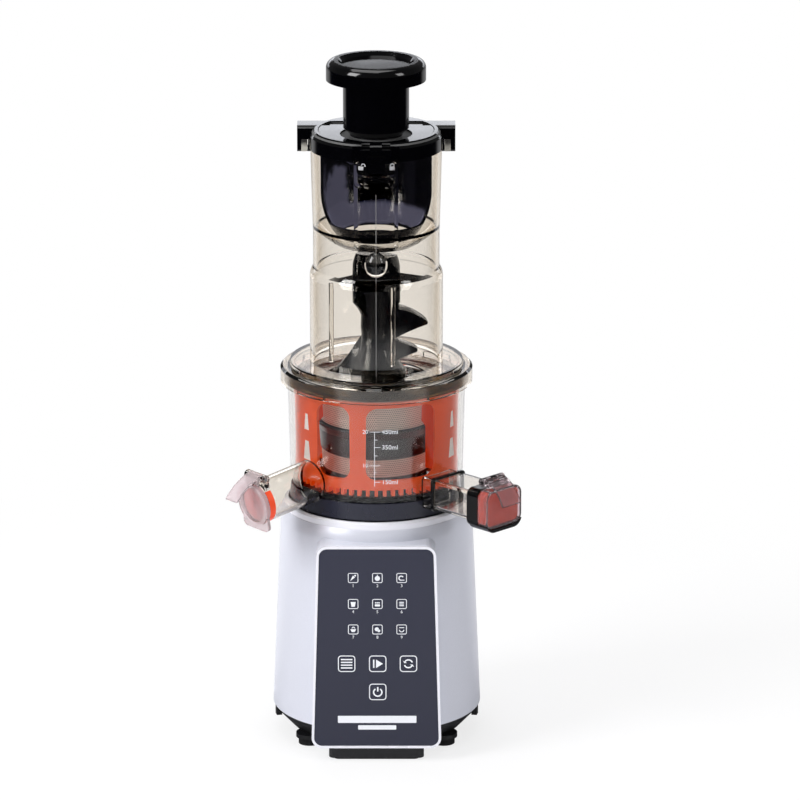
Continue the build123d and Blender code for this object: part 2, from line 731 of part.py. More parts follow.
def bowl():
    body = bowl_cone(0, BASE_TOP, BOWL_RIM) - bowl_cone(BOWL_WALL, BOWL_FLOOR, BOWL_RIM + 1)
    body += rod(HUB_R, BASE_TOP, HUB_TOP)
    body += rod(IDLER_PIN_R, BOWL_FLOOR, TRAIN_HIGH, 0, IDLER_REACH)
    body -= rod(HUB_BORE, BASE_TOP - 1, HUB_TOP + 1)
    body -= pulp_port()
    lug = bayonet_lug(BOWL_R_TOP - 0.5, BOWL_R_TOP + 2.4, LUG_Z, LUG_Z + LUG_T)
    body = fused([body, *around(lug, LUG_N, 45)])
    bore = JUICE * rod(JUICE_BORE, BOWL_R_LOW - 29, BOWL_R_LOW + 21)
    return body - (bore - rod(2 * BOWL_R_LOW, 0, BOWL_FLOOR))


def bayonet_lug(inner, outer, low, high):
    """An arc-shaped lug across the +X bearing."""
    ring = tube(inner, outer, low, high)
    reach = outer * sin(radians(LUG_DEG / 2))
    return ring & block(0, outer + 1, -reach, reach, low - 1, high + 1)


def at_hinge(plane, height, end):
    """The axis of a cap's hinge pin, over the end of an outlet."""
    return plane * Pos(0, height, end - CAP_BARREL_R) * Rot(0, 90, 0)


def juice_web():
    """The block under the two hinge ears on the juice spout's mouth."""
    middle = JUICE_END - CAP_BARREL_R
    web = Pos(0, JUICE_R - 2.5, middle) * Box(2 * CAP_EAR_OUT, 13, 5)
    return JUICE * (web - Pos(0, JUICE_HINGE_Y + 1.7, middle) * Box(2 * CAP_EAR_IN, 12, 9))


def juice_ring():
    """The band round the spout's mouth, open under the hinge."""
    band = JUICE * tube(JUICE_R - JUICE_SEAL_T, JUICE_R, JUICE_END - JUICE_SEAL_W, JUICE_END - 0.5)
    half = CAP_EAR_OUT + 0.5
    return band - JUICE * Pos(0, JUICE_R, JUICE_END) * Box(2 * half, 20, 4 * JUICE_SEAL_W)


def juice_spout():
    spout = JUICE * tube(JUICE_BORE, JUICE_R, 55, JUICE_END)
    spout -= bowl_cone(-0.01, DECK_TOP, BOWL_RIM)
    spout -= rod(BASE_R, DECK_TOP - 5, BASE_TOP)
    ear = rod(CAP_BARREL_R, -CAP_EAR_OUT, CAP_EAR_OUT) - rod(CAP_BARREL_R + 1, -CAP_EAR_IN, CAP_EAR_IN)
    hinge = at_hinge(JUICE, JUICE_HINGE_Y, JUICE_END)
    spout += (hinge * ear + juice_web()) - JUICE * rod(JUICE_R - 0.5, 90, JUICE_END + 1)
    return spout - juice_ring() - hinge * rod(CAP_PIN_R, -30, 30)


def juice_seal():
    """The soft ring let into the spout's mouth."""
    return juice_ring()


def hinge_lever(height, reach, drop, width):
    """A curved finger tab that starts on a hinge barrel and stands off the cap."""
    outer = [(0, CAP_BARREL_R), (reach * 0.54, -0.12 * drop), (reach, -drop)]
    inner = [(reach - 1.6, -drop), (reach * 0.5, -1.5 - 0.12 * drop), (0, CAP_BARREL_R - 2)]
    sides = [ThreePointArc(*outer), Line(outer[-1], inner[0]), ThreePointArc(*inner), Line(inner[-1], outer[0])]
    solid = extrude(make_face(sides), width / 2, both=True)
    return Plane(origin=(0, height, 0), x_dir=(0, 0, 1), z_dir=(-1, 0, 0)) * solid


def juice_cap():
    start = JUICE_END + GAP
    middle = JUICE_END - CAP_BARREL_R
    plate = rod(JUICE_R + 0.8, start, start + 4) - rod(JUICE_R - 2.6, start + 1.4, start + 5)
    flap = Pos(0, -10.5, start) * RectangleRounded(31, JUICE_R + 4, 4.5)
    flap = extrude(flap, 2.6) - rod(JUICE_R - 2.6, start + 1.4, start + 5)
    barrel = Rot(0, 90, 0) * rod(CAP_BARREL_R, -CAP_EAR_IN + GAP, CAP_EAR_IN - GAP)
    barrel = Pos(0, JUICE_HINGE_Y, middle) * barrel
    arm = Pos(0, JUICE_HINGE_Y - 1.5, start + 0.9) * Box(2 * CAP_EAR_IN - 1, 7, 1.8)
    neck = Pos(0, JUICE_HINGE_Y + 0.6, JUICE_END - 0.9) * Box(2 * CAP_EAR_IN - 1, 3, 4)
    lever = Pos(0, 0, middle) * hinge_lever(JUICE_HINGE_Y, 28, 11, 2 * CAP_EAR_IN - 2)
    cap = JUICE * (plate + flap + arm + neck + barrel + lever)
    cap -= at_hinge(JUICE, JUICE_HINGE_Y, JUICE_END) * rod(CAP_PIN_R + RUN, -30, 30)
    return cap - JUICE * rod(JUICE_R - 4, start - 1, start + 0.9)


def juice_cap_seal():
    start = JUICE_END + GAP
    return JUICE * (rod(JUICE_R - 4, start - 2.4, start + 0.9) & rod(JUICE_BORE - 0.8, start - 3, start + 1))


def juice_cap_pin():
    return at_hinge(JUICE, JUICE_HINGE_Y, JUICE_END) * rod(CAP_PIN_R, -CAP_EAR_OUT, CAP_EAR_OUT)


def pulp_neck():
    """The clear mouth moulded on the bowl that carries the pulp duct."""
    high = PULP_H / 2
    low = NECK_FLOOR - FRAME_LIP - PULP_Z
    neck = duct_bar(PULP_W, high - low, 55, FRAME_START, 2.5, (high + low) / 2)
    high -= PULP_WALL
    low += FRAME_LIP
    neck -= duct_bar(PULP_W - 2 * PULP_WALL, high - low, 50, FRAME_START + 1, 1.5, (high + low) / 2)
    neck -= bowl_cone(-0.01, DECK_TOP, BOWL_RIM)
    return neck - rod(BASE_R, DECK_TOP - 5, BASE_TOP)


def duct_frame():
    """The thin black frame between the bowl's mouth and the duct."""
    frame = duct_bar(PULP_W + 2 * FRAME_LIP, PULP_H + 2 * FRAME_LIP, FRAME_START, DUCT_START, 3)
    return frame - duct_bar(PULP_W - 2 * PULP_WALL, PULP_H - 2 * PULP_WALL, 50, 100, 1.5)


def pulp_duct():
    duct = duct_bar(PULP_W, PULP_H, DUCT_START, COLLAR_START, 2.5)
    return duct - duct_bar(PULP_W - 2 * PULP_WALL, PULP_H - 2 * PULP_WALL, 50, 140, 1.5)


def duct_collar():
    """The black collar at the duct's mouth, with the lip under the cap and the hinge knuckle."""
    collar = duct_bar(COLLAR_W, COLLAR_H, COLLAR_START, COLLAR_END, 6)
    lip_end = COLLAR_END + CAP_DEPTH
    lip = duct_bar(COLLAR_W, COLLAR_H + 2 * CHIN_T, COLLAR_START + 2, lip_end, 9)
    lip -= duct_bar(COLLAR_W + 2 * GAP, COLLAR_H + 2 * GAP, COLLAR_START, lip_end + 1, 7)
    low = COLLAR_H / 2 + CHIN_T
    keep = PULP * Pos(0, 3 - low, lip_end / 2) * Box(2 * COLLAR_W, 6, 2 * lip_end)
    step = duct_bar(COLLAR_W - 14, 2, COLLAR_START + 2, COLLAR_END, 0.9, -COLLAR_H / 2 - 0.5)
    collar += (lip & keep) + step
    collar -= duct_bar(PULP_W - 2 * PULP_WALL, PULP_H - 2 * PULP_WALL, 50, 160, 1.5)
    middle = COLLAR_END - CAP_BARREL_R
    foot = Pos(0, (COLLAR_H / 2 + PULP_HINGE_Y) / 2 - 1, middle) * Box(
        2 * KNUCKLE_HALF, PULP_HINGE_Y - COLLAR_H / 2 + 2, 2 * CAP_BARREL_R
    )
    hinge = at_hinge(PULP, PULP_HINGE_Y, COLLAR_END)
    collar += PULP * foot + hinge * rod(CAP_BARREL_R, -KNUCKLE_HALF, KNUCKLE_HALF)
    return collar - hinge * rod(CAP_PIN_R, -30, 30)


def pulp_cap():
    start = COLLAR_END + GAP
    shell = duct_bar(COLLAR_W, COLLAR_H, start, start + CAP_DEPTH, 7)
    shell = fillet(shell.faces().sort_by(Axis(PULP.origin, PULP.z_dir))[-1].edges(), 2)
    shell -= duct_bar(COLLAR_W - 4, COLLAR_H - 4, start - 1, start + CAP_DEPTH - 2, 5)
    barrel = Rot(0, 90, 0) * rod(CAP_BARREL_R, -CAP_EAR_OUT, CAP_EAR_OUT)
    arm = Pos(0, -2.2, CAP_BARREL_R + 1.6) * Box(2 * CAP_EAR_OUT - 2, 5, 2.6)
    neck = Pos(0, 0.3, CAP_BARREL_R - 0.4) * Box(2 * CAP_EAR_OUT - 2, 3, 4)
    lever = hinge_lever(0, 22, 16, 2 * CAP_EAR_OUT - 3)
    room = Rot(0, 90, 0) * rod(CAP_BARREL_R + GAP, -KNUCKLE_HALF - GAP, KNUCKLE_HALF + GAP)
    fittings = barrel + arm + neck + lever - room
    cap = shell + PULP * Pos(0, PULP_HINGE_Y, COLLAR_END - CAP_BARREL_R) * fittings
    return cap - at_hinge(PULP, PULP_HINGE_Y, COLLAR_END) * rod(CAP_PIN_R + RUN, -30, 30)


def pulp_cap_seal():
    start = COLLAR_END + GAP
    seal = duct_bar(COLLAR_W - 4.2, COLLAR_H - 4.2, start, start + CAP_DEPTH - 4, 4.9)
    return seal + duct_bar(PULP_W - 2 * PULP_WALL - 2, PULP_H - 2 * PULP_WALL - 2, start - 2.5, start + 1, 1.2)


def pulp_cap_pin():
    return at_hinge(PULP, PULP_HINGE_Y, COLLAR_END) * rod(CAP_PIN_R, -CAP_EAR_OUT - 0.8, CAP_EAR_OUT + 0.8)


def bowl_seal():
    return tube(HUB_R, HUB_R + 0.4, HUB_TOP - 5, HUB_TOP - 1.5)


# ---------------------------------------------------------------- strainer
def sieve_radius(z):
    return SIEVE_R_LOW + (SIEVE_R_TOP - SIEVE_R_LOW) * (z - SIEVE_LOW) / (SIEVE_TOP - SIEVE_LOW)


def strainer_frame():
    wall = turned(
        (JOURNAL_R + GAP, SIEVE_LOW),
        (sieve_radius(SIEVE_LOW), SIEVE_LOW),
        (sieve_radius(BAND_LOW - 1), BAND_LOW - 1),
        (sieve_radius(BAND_LOW) + 1.4, BAND_LOW),
        (sieve_radius(LIP_Z - 4) + 1.6, LIP_Z - 6),
        (LIP_R, LIP_Z),
        (LIP_R - 1, LIP_Z + 1),
        (sieve_radius(LIP_Z - 3), LIP_Z - 3),
        (sieve_radius(SIEVE_TOP - 4), SIEVE_TOP - 4),
        (sieve_radius(SIEVE_TOP) + SIEVE_RIM, SIEVE_TOP - 3),
        (sieve_radius(SIEVE_TOP) + SIEVE_RIM, SIEVE_TOP),
        (sieve_radius(SIEVE_TOP) - SIEVE_T, SIEVE_TOP),
        (sieve_radius(SIEVE_FLOOR) - SIEVE_T, SIEVE_FLOOR),
        (JOURNAL_R + GAP, SIEVE_FLOOR),
    )
    upper = Pos(0, -40, (LIP_Z + SIEVE_TOP) / 2 - 0.5) * Box(36, 30, SIEVE_TOP - LIP_Z - 10)
    lower = Pos(0, -40, (SIEVE_FLOOR + BAND_LOW) / 2 - 0.75) * Box(34, 30, BAND_LOW - SIEVE_FLOOR - 3.5)
    for cutter in (*around(upper, 6, 10), *around(lower, 6, 10)):
        wall -= cutter
    leg = block(-LEG_HALF, LEG_HALF, -40, -30, BOWL_FLOOR, SIEVE_LOW)
    legs = [facing(turn) * leg for turn in (-45, 95, 265)]
    pulp_hole = PULP * Pos(0, 0, 31) * Box(12, 40, 8, align=MIN_Z)
    return fused([wall, *legs]) - pulp_hole


def strainer_mesh():
    """Two bands of fine steel mesh wrapped round the strainer frame."""
    bands = []
    for low, high in ((SIEVE_LOW + 3, BAND_LOW - 1), (LIP_Z + 1.5, SIEVE_TOP - 4.2)):
        a, b = sieve_radius(low) + 0.02, sieve_radius(high) + 0.02
        bands.append(turned((a, low), (a + MESH_T, low), (b + MESH_T, high), (b, high)))
    return bands


# ---------------------------------------------------------------- auger and wiper train
def twisted(section, low, high, turn):
    """A flat section drawn upward while it turns about the drive axis."""
    prism = Solid.extrude_linear_with_rotation(section.face(), (0, 0, 0), (0, 0, high - low), turn)
    return Pos(0, 0, low) * prism


def blade_section(root_half, tip_half, reach):
    return make_face(Polyline((0, -root_half), (reach, -tip_half), (reach, tip_half), (0, root_half), close=True))


def wing_outline(foot, tip, top, reach):
    """The round-ended space that one mixing wing fills, turned about the drive axis."""
    return turned(
        (0, foot - 2),
        (COLUMN_R - 2, foot - 2),
        (reach - 0.6, tip - 2),
        [(reach, tip)],
        (reach - 0.6, tip + 2),
        [(COLUMN_R + 0.68 * (reach - COLUMN_R), tip + 0.68 * (top - tip))],
        (COLUMN_R + 2, top),
        (COLUMN_R - 2, top + 3),
        (0, top + 3),
    )


def auger():
    core = turned(
        (0, TRAIN_HIGH + GAP),
        (JOURNAL_R, TRAIN_HIGH + GAP),
        (JOURNAL_R, SIEVE_FLOOR + GAP),
        (SHOE_R, SIEVE_FLOOR + GAP),
        (SHOE_R, SIEVE_FLOOR + SHOE_T),
        (SHOE_R - 1.4, SIEVE_FLOOR + 2 * SHOE_T),
        (FLARE_R + 4, LIP_Z),
        (FLARE_R + 3, BOWL_RIM - 12),
        (FLARE_R, BOWL_RIM - 1),
        [(COLUMN_R + 3.6, BOWL_RIM + 10)],
        (COLUMN_R, BOWL_RIM + 34),
        (COLUMN_R - 0.6, COLUMN_TOP),
        (0, COLUMN_TOP),
    )
    reach_low = sieve_radius(FLIGHT_LOW) - SIEVE_T - 0.5
    reach_high = sieve_radius(SIEVE_TOP - 4.5) - SIEVE_T - 0.5
    envelope = turned(
        (0, FLIGHT_LOW - 1),
        (reach_low, FLIGHT_LOW - 1),
        (reach_high, SIEVE_TOP - 4.5),
        (FLARE_R + 12, BOWL_RIM - 3),
        (FLARE_R - 1, BOWL_RIM + 10),
        (COLUMN_R, FLIGHT_HIGH),
        (0, FLIGHT_HIGH),
    )
    turn = FLIGHT_RATE * (FLIGHT_HIGH - FLIGHT_LOW)
    flight = twisted(blade_section(6.5, 2.4, 50), FLIGHT_LOW, FLIGHT_HIGH, turn) & envelope
    body = fused([core, *around(flight, FLIGHT_N)])
    for rise_foot, rise_tip, rise_top, reach, bearing in WINGS:
        foot, tip, top = BOWL_RIM + rise_foot, BOWL_RIM + rise_tip, BOWL_RIM + rise_top
        low, high = foot - 3, top + 4
        wing = twisted(blade_section(9, 3, reach + 4), low, high, WING_RATE * (high - low))
        body += Rot(0, 0, bearing - WING_RATE * (tip - low)) * wing & wing_outline(foot, tip, top, reach)
    horn_space = turned(
        (0, HORN_LOW - 2),
        (COLUMN_R - 2, HORN_LOW - 2),
        [(COLUMN_R + 1, HORN_LOW + 8)],
        (HORN_R, HORN_LOW + 16),
        (HORN_R, HORN_TOP - 9),
        (HORN_R - 2.5, HORN_TOP),
        (0, HORN_TOP),
    )
    horn = twisted(RectangleRounded(2 * HORN_R, HORN_T, 6), HORN_LOW - 3, HORN_TOP, -60)
    body += Rot(0, 0, 30) * horn & horn_space
    body += core
    body += Pos(0, 0, TRAIN_LOW) * gear(SUN_N, TRAIN_M, TRAIN_T + GAP, 2, 90)
    body -= rod(HUB_R + 0.6, TRAIN_LOW - 1, INSERT_LOW)
    return body - rod(INSERT_R, INSERT_LOW - 1, INSERT_TOP)


def auger_insert():
    """The steel socket moulded into the auger for the drive hexagon."""
    bore = extrude(RegularPolygon(HEX_AF / 2 + 0.2, 6, major_radius=False), HEX_TOP + 3 - HUB_TOP)
    return rod(INSERT_R, INSERT_LOW, INSERT_TOP) - Pos(0, 0, HUB_TOP) * bore


def idler_pinion():
    wheel = gear(IDLER_N, TRAIN_M, TRAIN_HIGH - TRAIN_LOW, IDLER_PIN_R + RUN, -90 + 180 / IDLER_N)
    return Pos(0, IDLER_REACH, TRAIN_LOW) * wheel


def crown_teeth():
    """Teeth of the wiper's internal gear: open at the bottom, tips toward the axis."""
    pitch = CROWN_N * TRAIN_M / 2
    half = pi * TRAIN_M / 4 * 0.84
    slope = tan(radians(20))
    tip = pitch - 0.9 * TRAIN_M
    narrow = half - 0.9 * TRAIN_M * slope
    side = [(tip, narrow), (pitch, half), (WIPER_R_LOW, half)]
    tooth = make_face(Polyline(*side, *[(x, -y) for x, y in reversed(side)], close=True))
    prism = Pos(0, 0, TRAIN_LOW) * extrude(tooth, TRAIN_T + GAP)
    return around(prism, CROWN_N)


def wiper_inside(z):
    """Inside radius of the wiper's posts at a height."""
    return WIPER_R_LOW - WIPER_T + (WIPER_R_TOP - WIPER_R_LOW) * (z - TRAIN_HIGH) / (WIPER_TOP - TRAIN_HIGH)


def wiper_frame():
    ring_in = CROWN_N * TRAIN_M / 2 - 0.9 * TRAIN_M
    body = turned(
        (ring_in, TRAIN_HIGH + GAP),
        (WIPER_R_LOW, TRAIN_HIGH + GAP),
        (WIPER_R_TOP, WIPER_TOP),
        (wiper_inside(WIPER_TOP), WIPER_TOP),
        (wiper_inside(TRAIN_HIGH + 6), TRAIN_HIGH + 6),
        (ring_in, TRAIN_HIGH + 3),
    )
    height = WINDOW_HIGH - WINDOW_LOW
    middle = (WINDOW_LOW + WINDOW_HIGH) / 2
    for bearing, degrees_wide in ((POST_ONE, NARROW_DEG), (POST_TWO, WIDE_DEG)):
        chord = 2 * (WIPER_R_LOW - 1.5) * sin(radians(degrees_wide / 2))
        face = Plane.XZ * (Pos(0, middle) * RectangleRounded(chord, height, WINDOW_R))
        window = Pos(0, -45, 0) * extrude(face, 30)
        for k in range(POST_N):
            body -= facing(bearing + 360 / POST_N * k) * window
    for k in range(POST_N):
        for low, high, wide in POST_HOLES:
            hole = Polyline((-wide, low), (wide, low), (wide * 0.6, high), (-wide * 0.6, high), close=True)
            prism = Pos(0, -55, WINDOW_LOW - 4.5) * extrude(Plane.XZ * make_face(hole), 20)
            body -= facing(HOLES_DEG + 360 / POST_N * k) * prism
    return Part() + [body, *crown_teeth()]


def wiper_blades():
    """Soft blades on the three broad posts that wipe the strainer."""
    low, high = WINDOW_LOW + 1, SIEVE_TOP - 5.5
    skim = MESH_T + 0.5
    edge = Polyline(
        (wiper_inside(low) - 0.02, low),
        (LIP_R + 0.5, low),
        (LIP_R + 0.5, LIP_Z + 2),
        (sieve_radius(LIP_Z + 6) + skim, LIP_Z + 6),
        (sieve_radius(SIEVE_TOP - 6) + skim, SIEVE_TOP - 6),
        (sieve_radius(high) + 2.2, high),
        (wiper_inside(high) - 0.02, high),
        close=True,
    )
    blade = Pos(0, BLADE_T / 2, 0) * extrude(Plane.XZ * make_face(edge), BLADE_T)
    return [facing(BLADE_DEG - 90 + 360 / POST_N * k) * blade for k in range(POST_N)]


# ---------------------------------------------------------------- lid and hopper
def hopper():
    inner_drum = DRUM_R - WALL
    taper = NECK_R - WALL
    floor_in = sqrt(FLOOR_R**2 - MOUTH_R**2)
    edge_in = sqrt(FLOOR_R**2 - (NECK_R - 1) ** 2)
    skirt_in = BOWL_R_TOP + 3.2
    body = turned(
        (skirt_in, SKIRT_LOW),
        (SKIRT_R, SKIRT_LOW),
        (SKIRT_R, SKIRT_TOP - 2),
        (SKIRT_R - 2, SKIRT_TOP),
        (STEP_R + 1.5, SKIRT_TOP),
        (STEP_R + 0.6, STEP_TOP),
        (DRUM_R, STEP_TOP),
        (DRUM_R, DRUM_TOP),
        [(DRUM_R - 0.9, DRUM_TOP + 4)],
        (NECK_R, NECK_Z),
        (NECK_R, NECK_TOP),
        (HOPPER_R, HOPPER_TOP),
        (HOPPER_R - WALL, HOPPER_TOP),
        (taper, NECK_TOP),
        (taper, NECK_Z - 1),
        (inner_drum, DRUM_TOP - 1),
        (inner_drum, STEP_TOP - WALL),
        (STEP_R - WALL, STEP_TOP - WALL),
        (STEP_R - WALL, SKIRT_TOP - WALL),
        (skirt_in, SKIRT_TOP - WALL),
    )
    floor = turned(
        (MOUTH_R, FLOOR_Z - floor_in),
        [((NECK_R - 1 + MOUTH_R) / 2, FLOOR_Z - sqrt(FLOOR_R**2 - ((NECK_R - 1 + MOUTH_R) / 2) ** 2))],
        (NECK_R - 1, FLOOR_Z - edge_in),
        (NECK_R - 1, FLOOR_Z - edge_in - WALL),
        [((NECK_R - 1 + MOUTH_R) / 2, FLOOR_Z - WALL - sqrt(FLOOR_R**2 - ((NECK_R - 1 + MOUTH_R) / 2) ** 2))],
        (MOUTH_R, FLOOR_Z - floor_in - WALL),
    )
    body += floor
    lug = bayonet_lug(BOWL_R_TOP + 0.5, skirt_in + 1, SKIRT_LOW, LUG_Z - 0.4)
    body = fused([body, *around(lug, LUG_N, 45)])
    return body + latch_pocket() + hinge_ears() + neck_button()


def neck_button():
    """The egg-shaped nub moulded on the neck's front."""
    egg = turned((0, -BUTTON_HALF), [(BUTTON_R, 0)], (0, BUTTON_HALF))
    return Pos(0, BUTTON_R - BUTTON_OUT - NECK_R, NECK_Z + BUTTON_HALF + 0.5) * egg - rod(NECK_R - 1, 0, FAR)


def latch_pocket():
    """The clear U-shaped guard under the latch, and the two ribs that run down from it."""
    front, back = HOPPER_R + 5, HOPPER_R - 6
    plate = Pos(0, HOPPER_TOP - POCKET_DROP / 2) * RectangleRounded(2 * POCKET_HALF, POCKET_DROP, 4)
    room_h = POCKET_DROP - POCKET_WALL + 8
    inside = Pos(0, HOPPER_TOP + 8 - room_h / 2) * RectangleRounded(2 * (POCKET_HALF - POCKET_WALL), room_h, 3)
    inside = Pos(0, -40, 0) * extrude(Plane.XZ * inside, 20)
    rim = Pos(0, -back, 0) * extrude(Plane.XZ * plate, front - back) - inside
    rim += block(-POCKET_HALF, POCKET_HALF, -front, -back, HOPPER_TOP - 6, HOPPER_TOP) - inside
    reach = POCKET_HALF - POCKET_WALL / 2
    rib = block(-1.6, 1.6, 0.8 - HOPPER_R, 8 - HOPPER_R, NECK_TOP, POCKET_LOW + 2)
    inside_wall = turned(
        (0, SKIRT_LOW),
        (NECK_R - 1, SKIRT_LOW),
        (NECK_R - 1, NECK_TOP),
        (HOPPER_R - 1, HOPPER_TOP),
        (HOPPER_R - 1, COLLAR_TOP),
        (0, COLLAR_TOP),
    )
    return fused([rim, Pos(-reach, 0, 0) * rib, Pos(reach, 0, 0) * rib]) - inside_wall


def ear_core():
    """The clear block on the hopper's right side that fills the hinge lug."""
    core = block(0, EAR_REACH - EAR_WALL, EAR_Y0 + EAR_SKIN, EAR_Y1 - EAR_SKIN, EAR_LOW, EAR_TOP)
    return core - rod(HOPPER_R - 1, 0, FAR) - rod(COLLAR_R, HOPPER_TOP, FAR)


def hinge_ears():
    return ear_core() + mirror(ear_core(), Plane.YZ)


def lid_gasket():
    inner = BOWL_R_TOP - BOWL_WALL
    return tube(inner, BOWL_R_TOP, BOWL_RIM + 0.1, SKIRT_TOP - WALL)


def feed_collar():
    """The black ring on the hopper's mouth, with its rear cover and the hinge lugs."""
    ring = turned(
        (COLLAR_IN, HOPPER_TOP),
        (COLLAR_R, HOPPER_TOP),
        (COLLAR_R, COLLAR_TOP - COLLAR_BEVEL - 0.8),
        (COLLAR_R - 0.6, COLLAR_TOP - COLLAR_BEVEL),
        (COLLAR_R - COLLAR_BEVEL, COLLAR_TOP),
        (COLLAR_IN, COLLAR_TOP),
    )
    cover = rod(COLLAR_IN + 1, GATE_LOW, COLLAR_TOP) & block(-60, 60, REAR_Y, 60, GATE_LOW, COLLAR_TOP)
    ring += cover
    ear = block(COLLAR_IN - 8, EAR_REACH, EAR_Y0, EAR_Y1, EAR_LOW, COLLAR_TOP)
    ear = fillet(ear.edges().filter_by(Axis.X), 1.5) - rod(COLLAR_IN, 0, FAR)
    ear -= rod(HOPPER_R, 0, HOPPER_TOP)
    ear -= ear_core()
    ear -= block(COLLAR_R + 1.6, EAR_REACH - EAR_WALL - 0.4, 0, FAR, EAR_LOW + 2.6, EAR_TOP - 0.6)
    ring += ear + mirror(ear, Plane.YZ)
    notch = block(-NOTCH_HALF, NOTCH_HALF, -60, -LATCH_BACK, HOPPER_TOP - 1, COLLAR_TOP + 1)
    ring -= notch
    ring -= nub_slot(GATE_LOW + 0.9)
    return ring - hinge_rod(HINGE_PIN_R, EAR_REACH - 1.5)


def nub_slot(low):
    """The room that the latch's nub sweeps, from a height upward."""
    free = LATCH_TRAVEL + NUB_HALF + 0.6
    return block(-free, free, -60, -NUB_BACK, low, COLLAR_TOP + 5)


def hinge_rod(radius, half):
    return Pos(0, HINGE_Y, HINGE_Z) * Rot(0, 90, 0) * rod(radius, -half, half)


def gate_pins():
    """Two stub pins, one through each lug, that carry the gate."""
    return [hinge_rod(HINGE_PIN_R, EAR_REACH - 1.5) - rod(BARREL_HALF - 6, 0, FAR)]


def feed_guard():
    """The curved black wall of the feed chamber: its rear half, and the whole of its foot."""
    low = GUARD_Z - sqrt(GUARD_R**2 - MOUTH_R**2)
    turn = radians(40)
    outer = [(GUARD_R * cos(turn), GUARD_Z - GUARD_R * sin(turn))]
    inner_r = GUARD_R - GUARD_T
    low_in = GUARD_Z - sqrt(inner_r**2 - MOUTH_R**2)
    inner = [(inner_r * cos(turn), GUARD_Z - inner_r * sin(turn))]
    whole = turned(
        (GUARD_R, HOPPER_TOP),
        (inner_r, HOPPER_TOP),
        (inner_r, GUARD_Z),
        inner,
        (MOUTH_R, low_in),
        (MOUTH_R, low),
        outer,
        (GUARD_R, GUARD_Z),
    )
    return whole - block(-60, 60, -60, GUARD_FRONT, GUARD_LIP, FAR)


def feed_gate():
    """The hinged plate over the mouth, with the feed hole for the pusher."""
    plate = rod(GATE_R, GATE_LOW, GATE_TOP) & block(-60, 60, -60, GATE_BACK, GATE_LOW, GATE_TOP)
    for x0, x1 in ((-60, -BARREL_HALF + 0.5), (BARREL_HALF - 0.5, 60)):
        plate -= block(x0, x1, GATE_BACK - 3.5, GATE_BACK + 1, GATE_LOW - 1, GATE_TOP + 1)
    tongue = block(-BARREL_HALF, BARREL_HALF, GATE_BACK - 2, HINGE_Y, HINGE_Z - 2, GATE_LOW + 0.6)
    skirt = tube(FEED_R, FEED_R + 1.8, GATE_LOW - 3, GATE_LOW + 1, 0, FEED_Y)
    gate = plate + tongue + skirt + hinge_rod(HINGE_R, BARREL_HALF)
    gate -= rod(FEED_R, 0, FAR, 0, FEED_Y)
    gate -= hinge_rod(HINGE_PIN_R + RUN, EAR_REACH)
    ledge = NUB_HALF + 0.6
    gate -= block(-ledge - LATCH_TRAVEL, ledge, -60, -NUB_BACK, 0, FAR)
    return gate - nub_slot(GATE_LOW + 0.9)


def latch():
    """The sliding latch: a bar in the ring's notch, a finger tab, and a nub over the gate's edge."""
    half = NOTCH_HALF - LATCH_TRAVEL - 0.4
    bar = block(-half, half, 3 - TAB_FRONT, -LATCH_BACK - GAP, HOPPER_TOP + GAP, GATE_LOW - 0.2)
    tab = block(-TAB_HALF, TAB_HALF, -TAB_FRONT, 3.5 - TAB_FRONT, HOPPER_TOP - 7.1, HOPPER_TOP + 5.8)
    tab = fillet(tab.edges().filter_by(Axis.Y), 1.2)
    side, front = -NUB_BACK - 3, -LATCH_BACK - 3.5
    corners = ((-NUB_HALF, front), (NUB_HALF, front), (NUB_HALF, side), (0, -NUB_BACK - 0.5), (-NUB_HALF, side))
    nub = Polyline(*corners, close=True)
    nub = Pos(0, 0, GATE_LOW + 1.2) * extrude(make_face(nub), NUB_T)
    stem = block(-NUB_HALF, NUB_HALF, front, -LATCH_BACK - GAP, GATE_LOW - 1, GATE_LOW + 2)
    return bar + tab + nub + stem


# ---------------------------------------------------------------- pusher
def pusher():
    body = turned(
        (0, PUSHER_TIP),
        (PUSHER_TIP_R - 3, PUSHER_TIP),
        (PUSHER_TIP_R, PUSHER_TIP + 3),
        (PUSHER_TIP_R, HEAD_LOW - 5),
        (FEED_R - GAP, HEAD_LOW),
        (FEED_R - GAP, HEAD_TOP),
        (PUSHER_TIP_R, HEAD_TOP),
        (PUSHER_TIP_R, PUSHER_STEP - 4.8),
        (PUSHER_R, PUSHER_STEP),
        (PUSHER_R, FLANGE_TOP - DISH_D - WALL),
        (FLANGE_R - WALL, FLANGE_TOP - DISH_D - WALL),
        (FLANGE_R - WALL, FLANGE_LOW),
        (FLANGE_R, FLANGE_LOW),
        (FLANGE_R, FLANGE_TOP - 6),
        [(FLANGE_R - 1.8, FLANGE_TOP - 1.8)],
        (FLANGE_R - 6, FLANGE_TOP),
        (FLANGE_R - 9, FLANGE_TOP),
        (FLANGE_R - 11, FLANGE_TOP - DISH_D),
        (0, FLANGE_TOP - DISH_D),
    )
    ceiling = FLANGE_TOP - DISH_D - WALL
    hollow = rod(PUSHER_TIP_R - WALL, PUSHER_TIP - 1, ceiling) + rod(PUSHER_R - WALL, PUSHER_STEP + 1, ceiling)
    return Pos(0, FEED_Y, 0) * (body - hollow)


